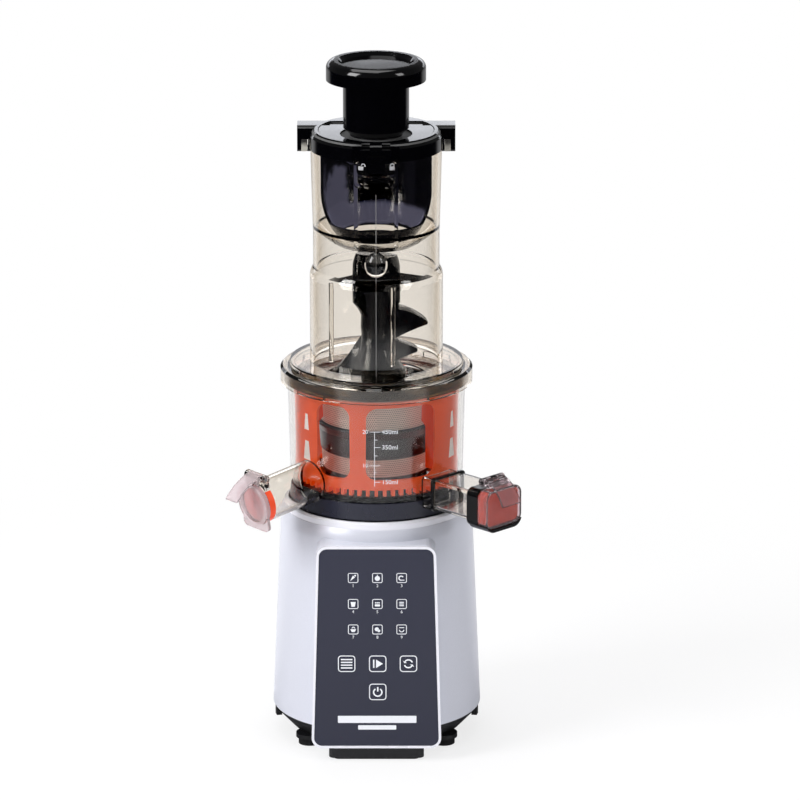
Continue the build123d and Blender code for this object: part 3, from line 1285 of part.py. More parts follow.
# ---------------------------------------------------------------- every node
NODES = {
    "base_shell": base_shell,
    "panel_bezel": panel_bezel,
    "touch_panel": touch_panel,
    "touch_board": touch_board,
    "bottom_tray": bottom_tray,
    "rubber_feet": rubber_feet,
    "trim_ring": trim_ring,
    "deck": deck,
    "shaft_seal": shaft_seal,
    "deck_bearing": deck_bearing,
    "rear_gland": rear_gland,
    "base_screws": base_screws,
    "control_board": control_board,
    "run_capacitor": run_capacitor,
    "lid_switch": lid_switch,
    "motor_stator": stator,
    "motor_windings": windings,
    "motor_lower_bracket": lambda: end_bracket(MOTOR_LOW, MOTOR_LOW + 4, MOTOR_LOW),
    "motor_upper_bracket": lambda: end_bracket(MOTOR_HIGH - 4, MOTOR_HIGH, MOTOR_HIGH - BEARING_H),
    "motor_bearings": bearings,
    "motor_grommets": grommets,
    "motor_rotor": rotor,
    "motor_fan": fan,
    "gearbox_case": gearbox_case,
    "gearbox_cover": gearbox_cover,
    "cluster_pin": cluster_pin,
    "cluster_gear": cluster_gear,
    "output_gear": output_gear,
    "drive_shaft": drive_shaft,
    "bowl_base": bowl_base,
    "bowl": bowl,
    "bowl_seal": bowl_seal,
    "juice_spout": juice_spout,
    "juice_seal": juice_seal,
    "juice_cap_pin": juice_cap_pin,
    "juice_cap": juice_cap,
    "juice_cap_seal": juice_cap_seal,
    "pulp_neck": pulp_neck,
    "duct_frame": duct_frame,
    "pulp_duct": pulp_duct,
    "duct_collar": duct_collar,
    "pulp_cap_pin": pulp_cap_pin,
    "pulp_cap": pulp_cap,
    "pulp_cap_seal": pulp_cap_seal,
    "strainer_frame": strainer_frame,
    "strainer_mesh": strainer_mesh,
    "auger": auger,
    "auger_insert": auger_insert,
    "idler_pinion": idler_pinion,
    "wiper_frame": wiper_frame,
    "wiper_blades": wiper_blades,
    "hopper": hopper,
    "lid_gasket": lid_gasket,
    "feed_collar": feed_collar,
    "gate_pins": gate_pins,
    "feed_guard": feed_guard,
    "feed_gate": feed_gate,
    "latch": latch,
    "pusher": pusher,
}

for name, make in NODES.items():
    made = make()
    save(name, *(made if isinstance(made, list) else [made]))
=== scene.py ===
"""Looks of the slow juicer: finishes for every piece, the printed panel and scale, and the studio."""

import math

import bmesh
import bpy
from mathutils import Matrix, Vector


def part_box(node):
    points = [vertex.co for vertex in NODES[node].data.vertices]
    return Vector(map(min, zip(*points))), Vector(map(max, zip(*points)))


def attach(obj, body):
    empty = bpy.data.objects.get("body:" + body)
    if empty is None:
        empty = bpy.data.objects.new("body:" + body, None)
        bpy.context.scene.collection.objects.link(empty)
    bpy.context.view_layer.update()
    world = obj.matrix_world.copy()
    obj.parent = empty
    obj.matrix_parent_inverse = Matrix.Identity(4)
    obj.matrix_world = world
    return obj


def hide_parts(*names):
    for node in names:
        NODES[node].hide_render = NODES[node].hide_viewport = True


bl_info = {
    "name": "Slow juicer dressing",
    "version": (1, 0, 0),
    "blender": (4, 5, 0),
    "location": "3D View > Sidebar > Juicer",
    "description": "Finishes, printed panel, measuring scale and studio for the slow juicer",
    "category": "Object",
}

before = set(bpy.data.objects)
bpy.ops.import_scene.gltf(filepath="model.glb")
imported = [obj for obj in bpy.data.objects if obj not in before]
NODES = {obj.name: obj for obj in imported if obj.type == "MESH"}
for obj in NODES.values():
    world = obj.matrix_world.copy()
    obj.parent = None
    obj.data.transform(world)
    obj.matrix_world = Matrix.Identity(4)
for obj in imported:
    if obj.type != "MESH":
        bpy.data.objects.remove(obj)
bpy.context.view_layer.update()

MM = 0.001
PRINT = 0.12 * MM  # thickness of printing

# ---------------------------------------------------------------- shared sizes and places from model.glb
def middle(node):
    low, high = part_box(node)
    return (low + high) / 2


AXIS = middle("drive_shaft")
AXIS.z = 0
PANEL_LOW, PANEL_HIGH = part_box("touch_panel")
PANEL_Y = PANEL_LOW.y


# ---------------------------------------------------------------- colours
def ink(red, green, blue):
    """A colour given as seen on a screen, 0 to 255, turned linear for the shaders."""
    return tuple(((c / 255) ** 2.2) for c in (red, green, blue)) + (1.0,)


SILVER = ink(214, 216, 227)
TRIM = ink(236, 236, 244)
PANEL_DARK = ink(44, 46, 62)
PRINT_WHITE = ink(238, 240, 246)
BLACK = ink(6, 6, 9)
NAVY = ink(24, 26, 44)
ORANGE = (1.0, 0.105, 0.010, 1.0)
SEAL_RED = ink(240, 74, 26)
SEAL_DARK = ink(44, 38, 34)
SMOKE = ink(246, 242, 236)
SMOKE_EDGE = ink(182, 154, 108)
DUCT_EDGE = ink(92, 70, 52)
CAP_VEIL = ink(236, 222, 226)
# painted shade, for the dark sheet on the drum's shoulder
AMBER = ink(122, 96, 62)
PAINTED_SHADE = ink(34, 30, 26)
BOWL_CLEAR = ink(252, 250, 249)
BOWL_EDGE = ink(196, 190, 184)
MESH_TAN = ink(236, 228, 214)
WORKTOP = ink(250, 250, 252)


def dimmed(colour, share):
    """The same colour at a share of its strength."""
    return tuple(c * share for c in colour[:3]) + (1.0,)


# ---------------------------------------------------------------- settings
def colour_setting(name, description, default):
    return bpy.props.FloatVectorProperty(
        name=name, description=description, default=default, subtype="COLOR", size=4, min=0.0, max=1.0
    )


def length_setting(name, description, millimetres):
    default = millimetres * MM
    return bpy.props.FloatProperty(name=name, description=description, default=default, unit="LENGTH")


class LookSettings(bpy.types.PropertyGroup):
    shell: colour_setting("Shell", "Paint of the motor base", SILVER)
    trim: colour_setting("Trim", "Bright ring and panel frame", TRIM)
    panel: colour_setting("Panel", "Glass of the touch panel", PANEL_DARK)
    printing: colour_setting("Printing", "Signs, numbers and measuring marks", PRINT_WHITE)
    wiper: colour_setting("Wiper", "Moulded wiper cage and its idler", ORANGE)
    seals: colour_setting("Seals", "Silicone seals and wiper blades", SEAL_RED)
    smoke: colour_setting("Clear lid", "Clear hopper and spouts seen face on", SMOKE)
    smoke_edge: colour_setting("Clear lid's edges", "Clear hopper seen edge on", SMOKE_EDGE)
    frame_line: length_setting("Frame line", "Line width of the printed frames", 0.55)
    number_height: length_setting("Number height", "Height of the panel's numerals", 3.4)
    mark_height: length_setting("Mark height", "Height of the measuring scale's figures", 5.2)


def look():
    return bpy.context.scene.juicer_look


# ---------------------------------------------------------------- shader arithmetic
class Val:
    """A shader socket that can be added, multiplied and compared like a number."""

    def __init__(self, recipe, socket):
        self.recipe = recipe
        self.socket = socket

    def _math(self, operation, *terms):
        return self.recipe.node("ShaderNodeMath", {"operation": operation}, dict(enumerate(terms)))["Value"]

    def __add__(self, other):
        return self._math("ADD", self, other)

    def __sub__(self, other):
        return self._math("SUBTRACT", self, other)

    def __mul__(self, other):
        return self._math("MULTIPLY", self, other)

    def __truediv__(self, other):
        return self._math("DIVIDE", self, other)

    def __rsub__(self, other):
        return self._math("SUBTRACT", other, self)

    def __rtruediv__(self, other):
        return self._math("DIVIDE", other, self)

    def __gt__(self, other):
        return self._math("GREATER_THAN", self, other)

    def __lt__(self, other):
        return self._math("LESS_THAN", self, other)

    __radd__ = __add__
    __rmul__ = __mul__

    def wave(self):
        return self._math("SINE", self)

    def size(self):
        return self._math("ABSOLUTE", self)

    def rest(self):
        return self._math("FRACT", self)

    def angle(self, other):
        return self._math("ARCTAN2", self, other)

    def soft(self, low, high):
        """0 below low, 1 above high, smooth between."""
        settings = {"interpolation_type": "SMOOTHSTEP"}
        values = {"Value": self, "From Min": low, "From Max": high, "To Min": 0.0, "To Max": 1.0}
        return self.recipe.node("ShaderNodeMapRange", settings, values)["Result"]


class Made:
    """A node whose outputs come back as Val by name."""

    def __init__(self, recipe, node):
        self.recipe = recipe
        self.raw = node

    def __getitem__(self, name):
        return Val(self.recipe, self.raw.outputs[name])


COLOUR_A, COLOUR_B, COLOUR_OUT = 6, 7, 2  # the Mix node's colour sockets, which share their names with others


class Recipe:
    """One material or world node tree."""

    def __init__(self, tree):
        self.tree = tree
        tree.nodes.clear()

    def node(self, kind, settings=None, values=None):
        made = self.tree.nodes.new(kind)
        for key, value in (settings or {}).items():
            setattr(made, key, value)
        for key, value in (values or {}).items():
            socket = made.inputs[key]
            if isinstance(value, Val):
                self.tree.links.new(value.socket, socket)
            else:
                socket.default_value = value
        return Made(self, made)

    def place(self):
        """Object coordinates in metres, measured from the drive axis on the worktop."""
        values = {"Vector": self.node("ShaderNodeTexCoord")["Object"], "Location": tuple(-AXIS)}
        return self.node("ShaderNodeMapping", None, values)["Vector"]

    def split(self, vector):
        made = self.node("ShaderNodeSeparateXYZ", None, {"Vector": vector})
        return made["X"], made["Y"], made["Z"]

    def noise(self, vector, scale, detail=3.0, roughness=0.55):
        values = {"Vector": vector, "Scale": scale, "Detail": detail, "Roughness": roughness}
        return self.node("ShaderNodeTexNoise", None, values)["Fac"]

    def blend(self, factor, first, second):
        settings = {"data_type": "RGBA"}
        made = self.node("ShaderNodeMix", settings, {"Factor": factor, COLOUR_A: first, COLOUR_B: second})
        return Val(self, made.raw.outputs[COLOUR_OUT])

    def bump(self, height, strength, distance):
        values = {"Height": height, "Strength": strength, "Distance": distance}
        return self.node("ShaderNodeBump", None, values)["Normal"]

    def surface(self, **values):
        """A Principled surface. Names use underscores for spaces."""
        inputs = {name.replace("_", " "): value for name, value in values.items()}
        made = self.node("ShaderNodeBsdfPrincipled", None, inputs)
        self.node("ShaderNodeOutputMaterial", None, {"Surface": made["BSDF"]})


# ---------------------------------------------------------------- finishes
def new_finish(name):
    made = bpy.data.materials.new(name)
    made.use_nodes = True
    return made, Recipe(made.node_tree)


def metallic_paint():
    finish, r = new_finish("metallic_paint")
    spot = r.place()
    flake = r.noise(spot, 2600, 1.0)
    cloud = r.noise(spot, 14, 2.0)
    paint = tuple(look().shell)
    r.surface(
        Base_Color=r.blend(flake.soft(0.3, 0.7), dimmed(paint, 0.93), paint),
        Metallic=0.15,
        Roughness=0.36 + 0.05 * cloud,
        Coat_Weight=0.1,
        Coat_Roughness=0.2,
        Normal=r.bump(flake, 0.05, 0.0001),
    )
    return finish


def bright_trim():
    finish, r = new_finish("bright_trim")
    cloud = r.noise(r.place(), 30, 1.0)
    bright = tuple(look().trim)
    colour = r.blend(cloud, dimmed(bright, 0.94), bright)
    r.surface(Base_Color=colour, Metallic=0.2, Roughness=0.24 + 0.05 * cloud)
    return finish


def panel_sheet():
    finish, r = new_finish("panel_sheet")
    spot = r.place()
    height = r.split(spot)[2]
    glass = tuple(look().panel)
    # painted shade: the glass is darker towards its foot and full strength higher up
    colour = r.blend((height * 6.0).soft(0.1, 1.1), dimmed(glass, 0.9), glass)
    haze = r.noise(spot, 60, 2.0)
    r.surface(Base_Color=colour, Roughness=0.22 + 0.06 * haze, Specular_IOR_Level=0.35)
    return finish


BEVEL_LOW = 0.4962  # heights between which the mouth ring's bevel is matt and painted pale, a painted highlight
BEVEL_HIGH = 0.4975


def black_gloss():
    finish, r = new_finish("black_gloss")
    spot = r.place()
    height = r.split(spot)[2]
    haze = r.noise(spot, 40, 3.0)
    ripple = r.noise(spot, 22, 1.0)
    # painted highlight: the bevel band between these heights is painted pale grey and made matt
    painted_bevel_highlight = (height > BEVEL_LOW) * (height < BEVEL_HIGH)
    r.surface(
        Base_Color=r.blend(painted_bevel_highlight, BLACK, ink(84, 84, 84)),
        Roughness=0.07 + 0.05 * haze + 0.45 * painted_bevel_highlight,
        Specular_IOR_Level=0.5,
        Normal=r.bump(ripple, 0.02, 0.002),
    )
    return finish


def black_satin():
    finish, r = new_finish("black_satin")
    spot = r.place()
    fine = r.noise(spot, 700, 2.0)
    broad = r.noise(spot, 30, 2.0)
    r.surface(
        Base_Color=ink(13, 13, 16),
        Roughness=0.16 + 0.1 * broad,
        Normal=r.bump(fine, 0.05, 0.0002),
    )
    return finish


def strainer_plastic():
    finish, r = new_finish("strainer_plastic")
    broad = r.noise(r.place(), 30, 2.0)
    r.surface(Base_Color=r.blend(broad, ink(18, 18, 23), ink(28, 28, 34)), Roughness=0.24 + 0.08 * broad)
    return finish


def guard_black():
    """Black with a painted grey sheen, a painted reflection, along the guard's foot and down its left on its
    rear half; all of it is made to glow a little.
    """
    finish, r = new_finish("guard_black")
    spot = r.place()
    x, y, z = r.split(spot)
    drift = r.noise(spot, 45, 2.0) * 0.02
    foot = 1.0 - (z + drift * 0.3).soft(0.430, 0.436)
    mouth = (z + drift * 0.3).soft(0.4165, 0.419)
    stripe = (x + drift).soft(-0.031, -0.026) * (1.0 - (x + drift).soft(-0.017, -0.013))
    left = stripe * (1.0 - (z + drift).soft(0.466, 0.474))
    rear = y > 0.0
    # painted sheen: grey painted on the black where a reflection would show, and made to glow by the emission
    # below
    sheen = ((foot + left * 0.8) * mouth).soft(0.0, 1.0) * rear
    haze = r.noise(spot, 40, 3.0)
    colour = r.blend(sheen, ink(9, 9, 11), ink(84, 84, 102))
    r.surface(
        Base_Color=colour,
        Roughness=0.16 + 0.06 * haze,
        Emission_Color=colour,
        Emission_Strength=0.7,
    )
    return finish


def painted_shade_veil():
    """A thin dark sheet of painted shade on the shoulder of the drum, standing in for the dark of the auger
    seen through it.
    """
    finish, r = new_finish("painted_shade_veil")
    spot = r.place()
    across = r.split(spot)[0]
    cloud = r.noise(spot, 60, 2.0)
    thick = 1.0 - (across - 0.004).size().soft(0.026, 0.045)
    r.surface(
        Base_Color=r.blend(cloud, PAINTED_SHADE, dimmed(PAINTED_SHADE, 0.6)),
        Roughness=0.6 + 0.1 * cloud,
        Specular_IOR_Level=0.0,
        Alpha=0.35 + 0.5 * thick,
    )
    return finish


def deep_amber():
    """Where the clear lid's flange shows its own depth."""
    finish, r = new_finish("amber")
    cloud = r.noise(r.place(), 70, 3.0)
    facing = r.node("ShaderNodeLayerWeight", None, {"Blend": 0.4})["Facing"]
    mixed = r.blend((facing * 0.5 + cloud * 0.6).soft(0.2, 0.9), AMBER, dimmed(AMBER, 0.35))
    r.surface(Base_Color=mixed, Roughness=0.05 + 0.05 * cloud, IOR=1.46, Transmission_Weight=1.0)
    return finish


def tray_plastic():
    finish, r = new_finish("tray_plastic")
    spark = r.noise(r.place(), 1800, 2.0)
    r.surface(Base_Color=ink(20, 20, 24), Roughness=0.5 + 0.1 * spark, Normal=r.bump(spark, 0.15, 0.0002))
    return finish


def foot_rubber():
    finish, r = new_finish("foot_rubber")
    grain = r.noise(r.place(), 1200, 3.0)
    r.surface(Base_Color=ink(16, 16, 18), Roughness=0.75 + 0.1 * grain, Normal=r.bump(grain, 0.2, 0.0002))
    return finish


def navy_plastic():
    finish, r = new_finish("navy_plastic")
    haze = r.noise(r.place(), 90, 2.0)
    r.surface(Base_Color=NAVY, Roughness=0.24 + 0.06 * haze, Normal=r.bump(haze, 0.01, 0.001))
    return finish


def clear_moulding(name, body, edge, veil=0.0):
    """See-through plastic, paler face on and deeper toward its edges, with faint mould flow.

    The veil is the share of it that is cloudy.
    """
    finish, r = new_finish(name)
    facing = r.node("ShaderNodeLayerWeight", None, {"Blend": 0.35})["Facing"]
    flow = r.noise(r.place(), 26, 2.0)
    r.surface(
        Base_Color=r.blend(facing.soft(0.25, 0.95), body, edge),
        Roughness=0.0,
        IOR=1.46,
        Transmission_Weight=1.0 - veil,
        Normal=r.bump(flow, 0.015, 0.002),
    )
    return finish


def smoke_clear():
    return clear_moulding("smoke_clear", tuple(look().smoke), tuple(look().smoke_edge))


def bowl_clear():
    return clear_moulding("bowl_clear", BOWL_CLEAR, BOWL_EDGE)


def duct_clear():
    return clear_moulding("duct_clear", tuple(look().smoke), DUCT_EDGE)


def juice_cap_clear():
    return clear_moulding("juice_cap_clear", CAP_VEIL, SMOKE_EDGE, 0.4)


def pulp_cap_clear():
    return clear_moulding("pulp_cap_clear", CAP_VEIL, DUCT_EDGE, 0.06)


def wiper_plastic():
    finish, r = new_finish("wiper_plastic")
    facing = r.node("ShaderNodeLayerWeight", None, {"Blend": 0.3})["Facing"]
    cloud = r.noise(r.place(), 24, 2.0)
    orange = tuple(look().wiper)
    colour = r.blend(facing * 0.6 + cloud * 0.25, orange, dimmed(orange, 0.72))
    r.surface(
        Base_Color=colour,
        Roughness=0.28 + 0.08 * cloud,
        Coat_Weight=0.2,
        Coat_Roughness=0.1,
        # painted light: the cage is made to glow a little, standing in for light coming through it from
        # behind
        Emission_Color=colour,
        Emission_Strength=0.26,
    )
    return finish


def soft_silicone(name, colour):
    finish, r = new_finish(name)
    cloud = r.noise(r.place(), 60, 3.0)
    body = r.blend(cloud, dimmed(colour, 0.8), colour)
    r.surface(
        Base_Color=body,
        Roughness=0.42 + 0.1 * cloud,
        # painted light: the silicone is made to glow a little, though it is no lamp
        Emission_Color=body,
        Emission_Strength=0.2,
        Normal=r.bump(cloud, 0.03, 0.0005),
    )
    return finish


MESH_R = 45.0  # millimetres
HOLE_PITCH = 1.6


def perforated_steel():
    """Fine punched sheet: rows of holes counted round the drive axis and up it."""
    finish, r = new_finish("perforated_steel")
    spot = r.place()
    x, y, z = r.split(spot)
    round_the_axis = x.angle(y) * MESH_R / HOLE_PITCH
    up = z * 1000.0 / HOLE_PITCH
    row = (up * 0.5).rest() > 0.5
    across = ((round_the_axis + row * 0.5).rest() - 0.5) * 2.0
    along = (up.rest() - 0.5) * 2.0
    hole = 1.0 - (across * across + along * along).soft(0.1, 0.5)
    cloud = r.noise(spot, 120, 2.0)
    colour = r.blend(hole, MESH_TAN, ink(124, 116, 106))
    r.surface(
        Base_Color=colour,
        Metallic=0.1,
        Roughness=0.4 + 0.12 * cloud,
        # painted light: the sheet is made to glow a little, though it is no lamp
        Emission_Color=colour,
        Emission_Strength=0.1,
        Normal=r.bump(1.0 - hole, 0.5, 0.0003),
    )
    return finish


def turned_steel():
    finish, r = new_finish("turned_steel")
    height = r.split(r.place())[2]
    lines = r.noise(r.node("ShaderNodeCombineXYZ", None, {"Z": height * 40.0})["Vector"], 60, 2.0)
    r.surface(
        Base_Color=ink(176, 176, 180),
        Metallic=1.0,
        Roughness=0.22 + 0.14 * lines,
        Normal=r.bump(lines, 0.05, 0.0002),
    )
    return finish


def laminated_core():
    finish, r = new_finish("laminated_core")
    height = r.split(r.place())[2]
    leaf = (height * 2000.0).rest().soft(0.1, 0.3)
    colour = r.blend(leaf, ink(60, 60, 64), ink(112, 112, 118))
    r.surface(Base_Color=colour, Metallic=0.8, Roughness=0.45 + 0.1 * leaf, Normal=r.bump(leaf, 0.2, 0.0002))
    return finish


def copper_wire():
    finish, r = new_finish("copper_wire")
    x, y, _ = r.split(r.place())
    turns = ((x + y) * 2600.0).wave() * 0.5 + 0.5
    colour = r.blend(turns, ink(120, 58, 24), ink(196, 112, 60))
    r.surface(Base_Color=colour, Metallic=0.9, Roughness=0.3 + 0.1 * turns, Normal=r.bump(turns, 0.3, 0.0003))
    return finish


def cast_alloy():
    finish, r = new_finish("cast_alloy")
    grain = r.noise(r.place(), 500, 4.0)
    r.surface(
        Base_Color=ink(170, 171, 174),
        Metallic=0.85,
        Roughness=0.46 + 0.12 * grain,
        Normal=r.bump(grain, 0.2, 0.0004),
    )
    return finish


def moulded_nylon():
    finish, r = new_finish("moulded_nylon")
    cloud = r.noise(r.place(), 80, 3.0)
    colour = r.blend(cloud, ink(214, 208, 192), ink(232, 228, 216))
    r.surface(Base_Color=colour, Roughness=0.4 + 0.1 * cloud, Normal=r.bump(cloud, 0.03, 0.0005))
    return finish


def circuit_board():
    finish, r = new_finish("circuit_board")
    x, _, z = r.split(r.place())
    track = ((x * 420.0).rest() > 0.82) + ((z * 310.0).rest() > 0.88)
    colour = r.blend(track.soft(0.0, 1.0), ink(18, 74, 46), ink(52, 120, 78))
    r.surface(Base_Color=colour, Roughness=0.35 + 0.05 * track)
    return finish


def printed_white():
    finish, r = new_finish("printed_white")
    speck = r.noise(r.place(), 1500, 2.0)
    white = tuple(look().printing)
    r.surface(Base_Color=r.blend(speck, dimmed(white, 0.92), white), Roughness=0.4 + 0.06 * speck)
    return finish


def seam_grey():
    # a real mould seam, given an opaque pale grey that paints the light line along it: a painted highlight
    finish, r = new_finish("seam_grey")
    cloud = r.noise(r.place(), 60, 2.0)
    r.surface(Base_Color=r.blend(cloud, ink(120, 118, 116), ink(170, 168, 166)), Roughness=0.4 + 0.1 * cloud)
    return finish


def lug_glass():
    """The clear block seen in the hinge lugs' windows: dark above, with pale painted glints lower down."""
    finish, r = new_finish("lug_glass")
    spot = r.place()
    height = r.split(spot)[2]
    drift = r.noise(spot, 300, 2.0)
    # painted glints: paler towards the foot and in noisy patches
    pale = (1.0 - height.soft(0.479, 0.487)) * 0.7 + drift * 0.5
    colour = r.blend(pale.soft(0.2, 1.0), ink(52, 50, 48), ink(186, 182, 172))
    r.surface(Base_Color=colour, Roughness=0.2 + 0.1 * drift)
    return finish


def glowing_slot_sheet():
    """Pale sheets in the wiper's slots, painted light standing in for the brightness seen through them; they
    also glow a little.
    """
    finish, r = new_finish("glowing_slot_sheet")
    cloud = r.noise(r.place(), 60, 2.0)
    colour = r.blend(cloud, ink(228, 222, 214), ink(240, 236, 230))
    r.surface(Base_Color=colour, Roughness=0.5 + 0.1 * cloud, Emission_Color=colour, Emission_Strength=0.35)
    return finish


FINISH_OF = {
    metallic_paint: ("base_shell",),
    bright_trim: ("panel_bezel", "trim_ring"),
    panel_sheet: ("touch_panel",),
    black_gloss: ("feed_collar", "feed_gate", "latch", "pusher", "duct_collar", "duct_frame", "pulp_cap_pin"),
    guard_black: ("feed_guard",),
    black_satin: ("auger",),
    strainer_plastic: ("strainer_frame",),
    tray_plastic: ("bottom_tray", "deck", "rear_gland", "lid_switch"),
    foot_rubber: ("rubber_feet", "motor_grommets"),
    navy_plastic: ("bowl_base",),
    smoke_clear: ("hopper", "juice_spout"),
    duct_clear: ("pulp_neck", "pulp_duct"),
    juice_cap_clear: ("juice_cap",),
    pulp_cap_clear: ("pulp_cap",),
    bowl_clear: ("bowl",),
    wiper_plastic: ("wiper_frame", "idler_pinion"),
    perforated_steel: ("strainer_mesh",),
    turned_steel: (
        "drive_shaft",
        "deck_bearing",
        "motor_bearings",
        "cluster_pin",
        "auger_insert",
        "gate_pins",
        "juice_cap_pin",
        "base_screws",
    ),
    laminated_core: ("motor_stator", "motor_rotor"),
    copper_wire: ("motor_windings",),
    cast_alloy: ("motor_lower_bracket", "motor_upper_bracket", "gearbox_case", "gearbox_cover"),
    moulded_nylon: ("motor_fan", "cluster_gear", "output_gear", "run_capacitor"),
    circuit_board: ("touch_board", "control_board"),
}
RED_PARTS = ("juice_seal", "juice_cap_seal", "pulp_cap_seal", "wiper_blades")
DARK_SEALS = ("lid_gasket", "shaft_seal", "bowl_seal")


def wear(node, finish):
    """Gives a CAD node its finish."""
    node.data.materials.clear()
    node.data.materials.append(finish)


# ---------------------------------------------------------------- building small pieces
def settle(name, bm, finish, body):
    """Turns a bmesh into a piece that rides on a body."""
    bmesh.ops.remove_doubles(bm, verts=bm.verts, dist=1e-7)
    bmesh.ops.recalc_face_normals(bm, faces=bm.faces)
    mesh = bpy.data.meshes.new(name)
    bm.to_mesh(mesh)
    bm.free()
    mesh.materials.append(finish)
    piece = bpy.data.objects.new(name, mesh)
    bpy.context.scene.collection.objects.link(piece)
    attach(piece, body)
    return piece


UPRIGHT = Matrix.Rotation(math.radians(90), 4, "X")  # stands a flat shape up, facing the front


def face_on(bm, x, z, width, height, front, corner):
    """A flat upright face centred on (x, z) at y = front, with rounded corners."""
    verts = bmesh.ops.create_grid(bm, x_segments=1, y_segments=1, size=0.5)["verts"]
    grow = Matrix.Diagonal((width, height, 1, 1))
    bmesh.ops.transform(bm, verts=verts, matrix=Matrix.Translation((x, front, z)) @ UPRIGHT @ grow)
    faces = list({f for v in verts for f in v.link_faces})
    if corner > 0:
        cut = bmesh.ops.bevel(
            bm,
            geom=verts,
            offset=corner,
            offset_type="OFFSET",
            segments=4,
            affect="VERTICES",
            profile=0.5,
            material=-1,
        )
        faces = [f for f in faces if f.is_valid] or cut["faces"]
    return faces


def thicken(bm, faces, depth):
    """Draws faces back by depth so that they become closed solids."""
    made = bmesh.ops.extrude_face_region(bm, geom=faces, use_keep_orig=True)
    moved = [g for g in made["geom"] if isinstance(g, bmesh.types.BMVert)]
    bmesh.ops.translate(bm, verts=moved, vec=(0, depth, 0))


def plate(bm, x, z, width, height, front, depth, corner=0.0):
    """A flat upright plate."""
    thicken(bm, face_on(bm, x, z, width, height, front, corner), depth)


def outline(bm, x, z, width, height, front, depth, corner, line):
    """A rounded rectangular frame."""
    others = set(bm.faces)
    face_on(bm, x, z, width, height, front, corner)
    whole = [f for f in bm.faces if f not in others]
    bm.normal_update()
    made = bmesh.ops.inset_region(bm, faces=whole, thickness=line, use_boundary=True, use_even_offset=True)
    kept = others | set(made["faces"])
    bmesh.ops.delete(bm, geom=[f for f in bm.faces if f not in kept], context="FACES_ONLY")
    thicken(bm, made["faces"], depth)


def disc(bm, x, z, radius, front, depth, segments=20):
    """A flat upright disc."""
    verts = bmesh.ops.create_circle(bm, cap_ends=True, radius=radius, segments=segments)["verts"]
    bmesh.ops.transform(bm, verts=verts, matrix=Matrix.Translation((x, front, z)) @ UPRIGHT)
    thicken(bm, list({f for v in verts for f in v.link_faces}), depth)


def arc(bm, x, z, radius, line, start, sweep, front, depth, segments=18):
    """Part of a ring in the panel's plane, spun from a small quad. Angles run from +X toward +Z."""
    section = ((radius, 0), (radius + line, 0), (radius + line, depth), (radius, depth))
    verts = [bm.verts.new((x + reach, front + back, z)) for reach, back in section]
    face = bm.faces.new(verts)
    bmesh.ops.rotate(bm, verts=verts, cent=(x, 0, z), matrix=Matrix.Rotation(-math.radians(start), 3, "Y"))
    bmesh.ops.spin(
        bm,
        geom=[face],
        cent=(x, 0, z),
        axis=(0, -1, 0),
        angle=math.radians(sweep),
        steps=segments,
        use_duplicate=False,
    )


def wedge(bm, points, front, depth):
    """A flat shape from its corner points (x, z)."""
    face = bm.faces.new([bm.verts.new((x, front, z)) for x, z in points])
    thicken(bm, [face], depth)


def bucket(bm, x, z, scale, top, foot, half_top, half_foot, front):
    """A flat shape with level top and foot and slanting sides, its sizes in shares of scale."""
    corners = ((-half_top, top), (half_top, top), (half_foot, foot), (-half_foot, foot))
    wedge(bm, [(x + across * scale, z + up * scale) for across, up in corners], front, PRINT)


def figures(bm, text, x, z, height, front, depth, align="CENTER"):
    """Numerals standing upright on the front."""
    curve = bpy.data.curves.new("figures", "FONT")
    curve.body = text
    curve.size = height
    curve.align_x = align
    curve.align_y = "CENTER"
    curve.extrude = depth / 2
    curve.resolution_u = 3
    holder = bpy.data.objects.new("figures", curve)
    bpy.context.scene.collection.objects.link(holder)
    mesh = bpy.data.meshes.new_from_object(holder)
    mesh.transform(Matrix.Translation((x, front + depth / 2, z)) @ UPRIGHT)
    bm.from_mesh(mesh)
    bpy.data.meshes.remove(mesh)
    bpy.data.objects.remove(holder)
    bpy.data.curves.remove(curve)


# ---------------------------------------------------------------- printed panel, in millimetres
COLUMNS = (-18.3, 0.9, 20.1)  # to the right of the drive axis
ROWS = (155.1, 133.4, 112.1)  # up from the worktop
NUMBER_DROP = 6.6  # from a sign's middle to its number's
SIGN = 8.2  # size of a sign's frame
SIGN_CORNER = 1.4
KEYS = {"menu": (-23.6, 83.3), "run": (1.1, 83.3), "again": (25.5, 83.3), "power": (1.1, 59.6)}
KEY = 13.8
KEY_CORNER = 2.6
KEY_LINE = 1.3  # a key's frame line, in lines of a sign's frame
PLATES = ((0.6, 36.4, 62.6, 6.0), (0.6, 29.6, 30.4, 3.7))  # middle across, middle up, width, height
PLATE_CORNER = 0.6
STANDS_OUT = 0.9  # of the printing's thickness, over the glass


def at(across, up):
    """A place on the front, given in millimetres from the drive axis and the worktop."""
    return AXIS.x + across * MM, up * MM


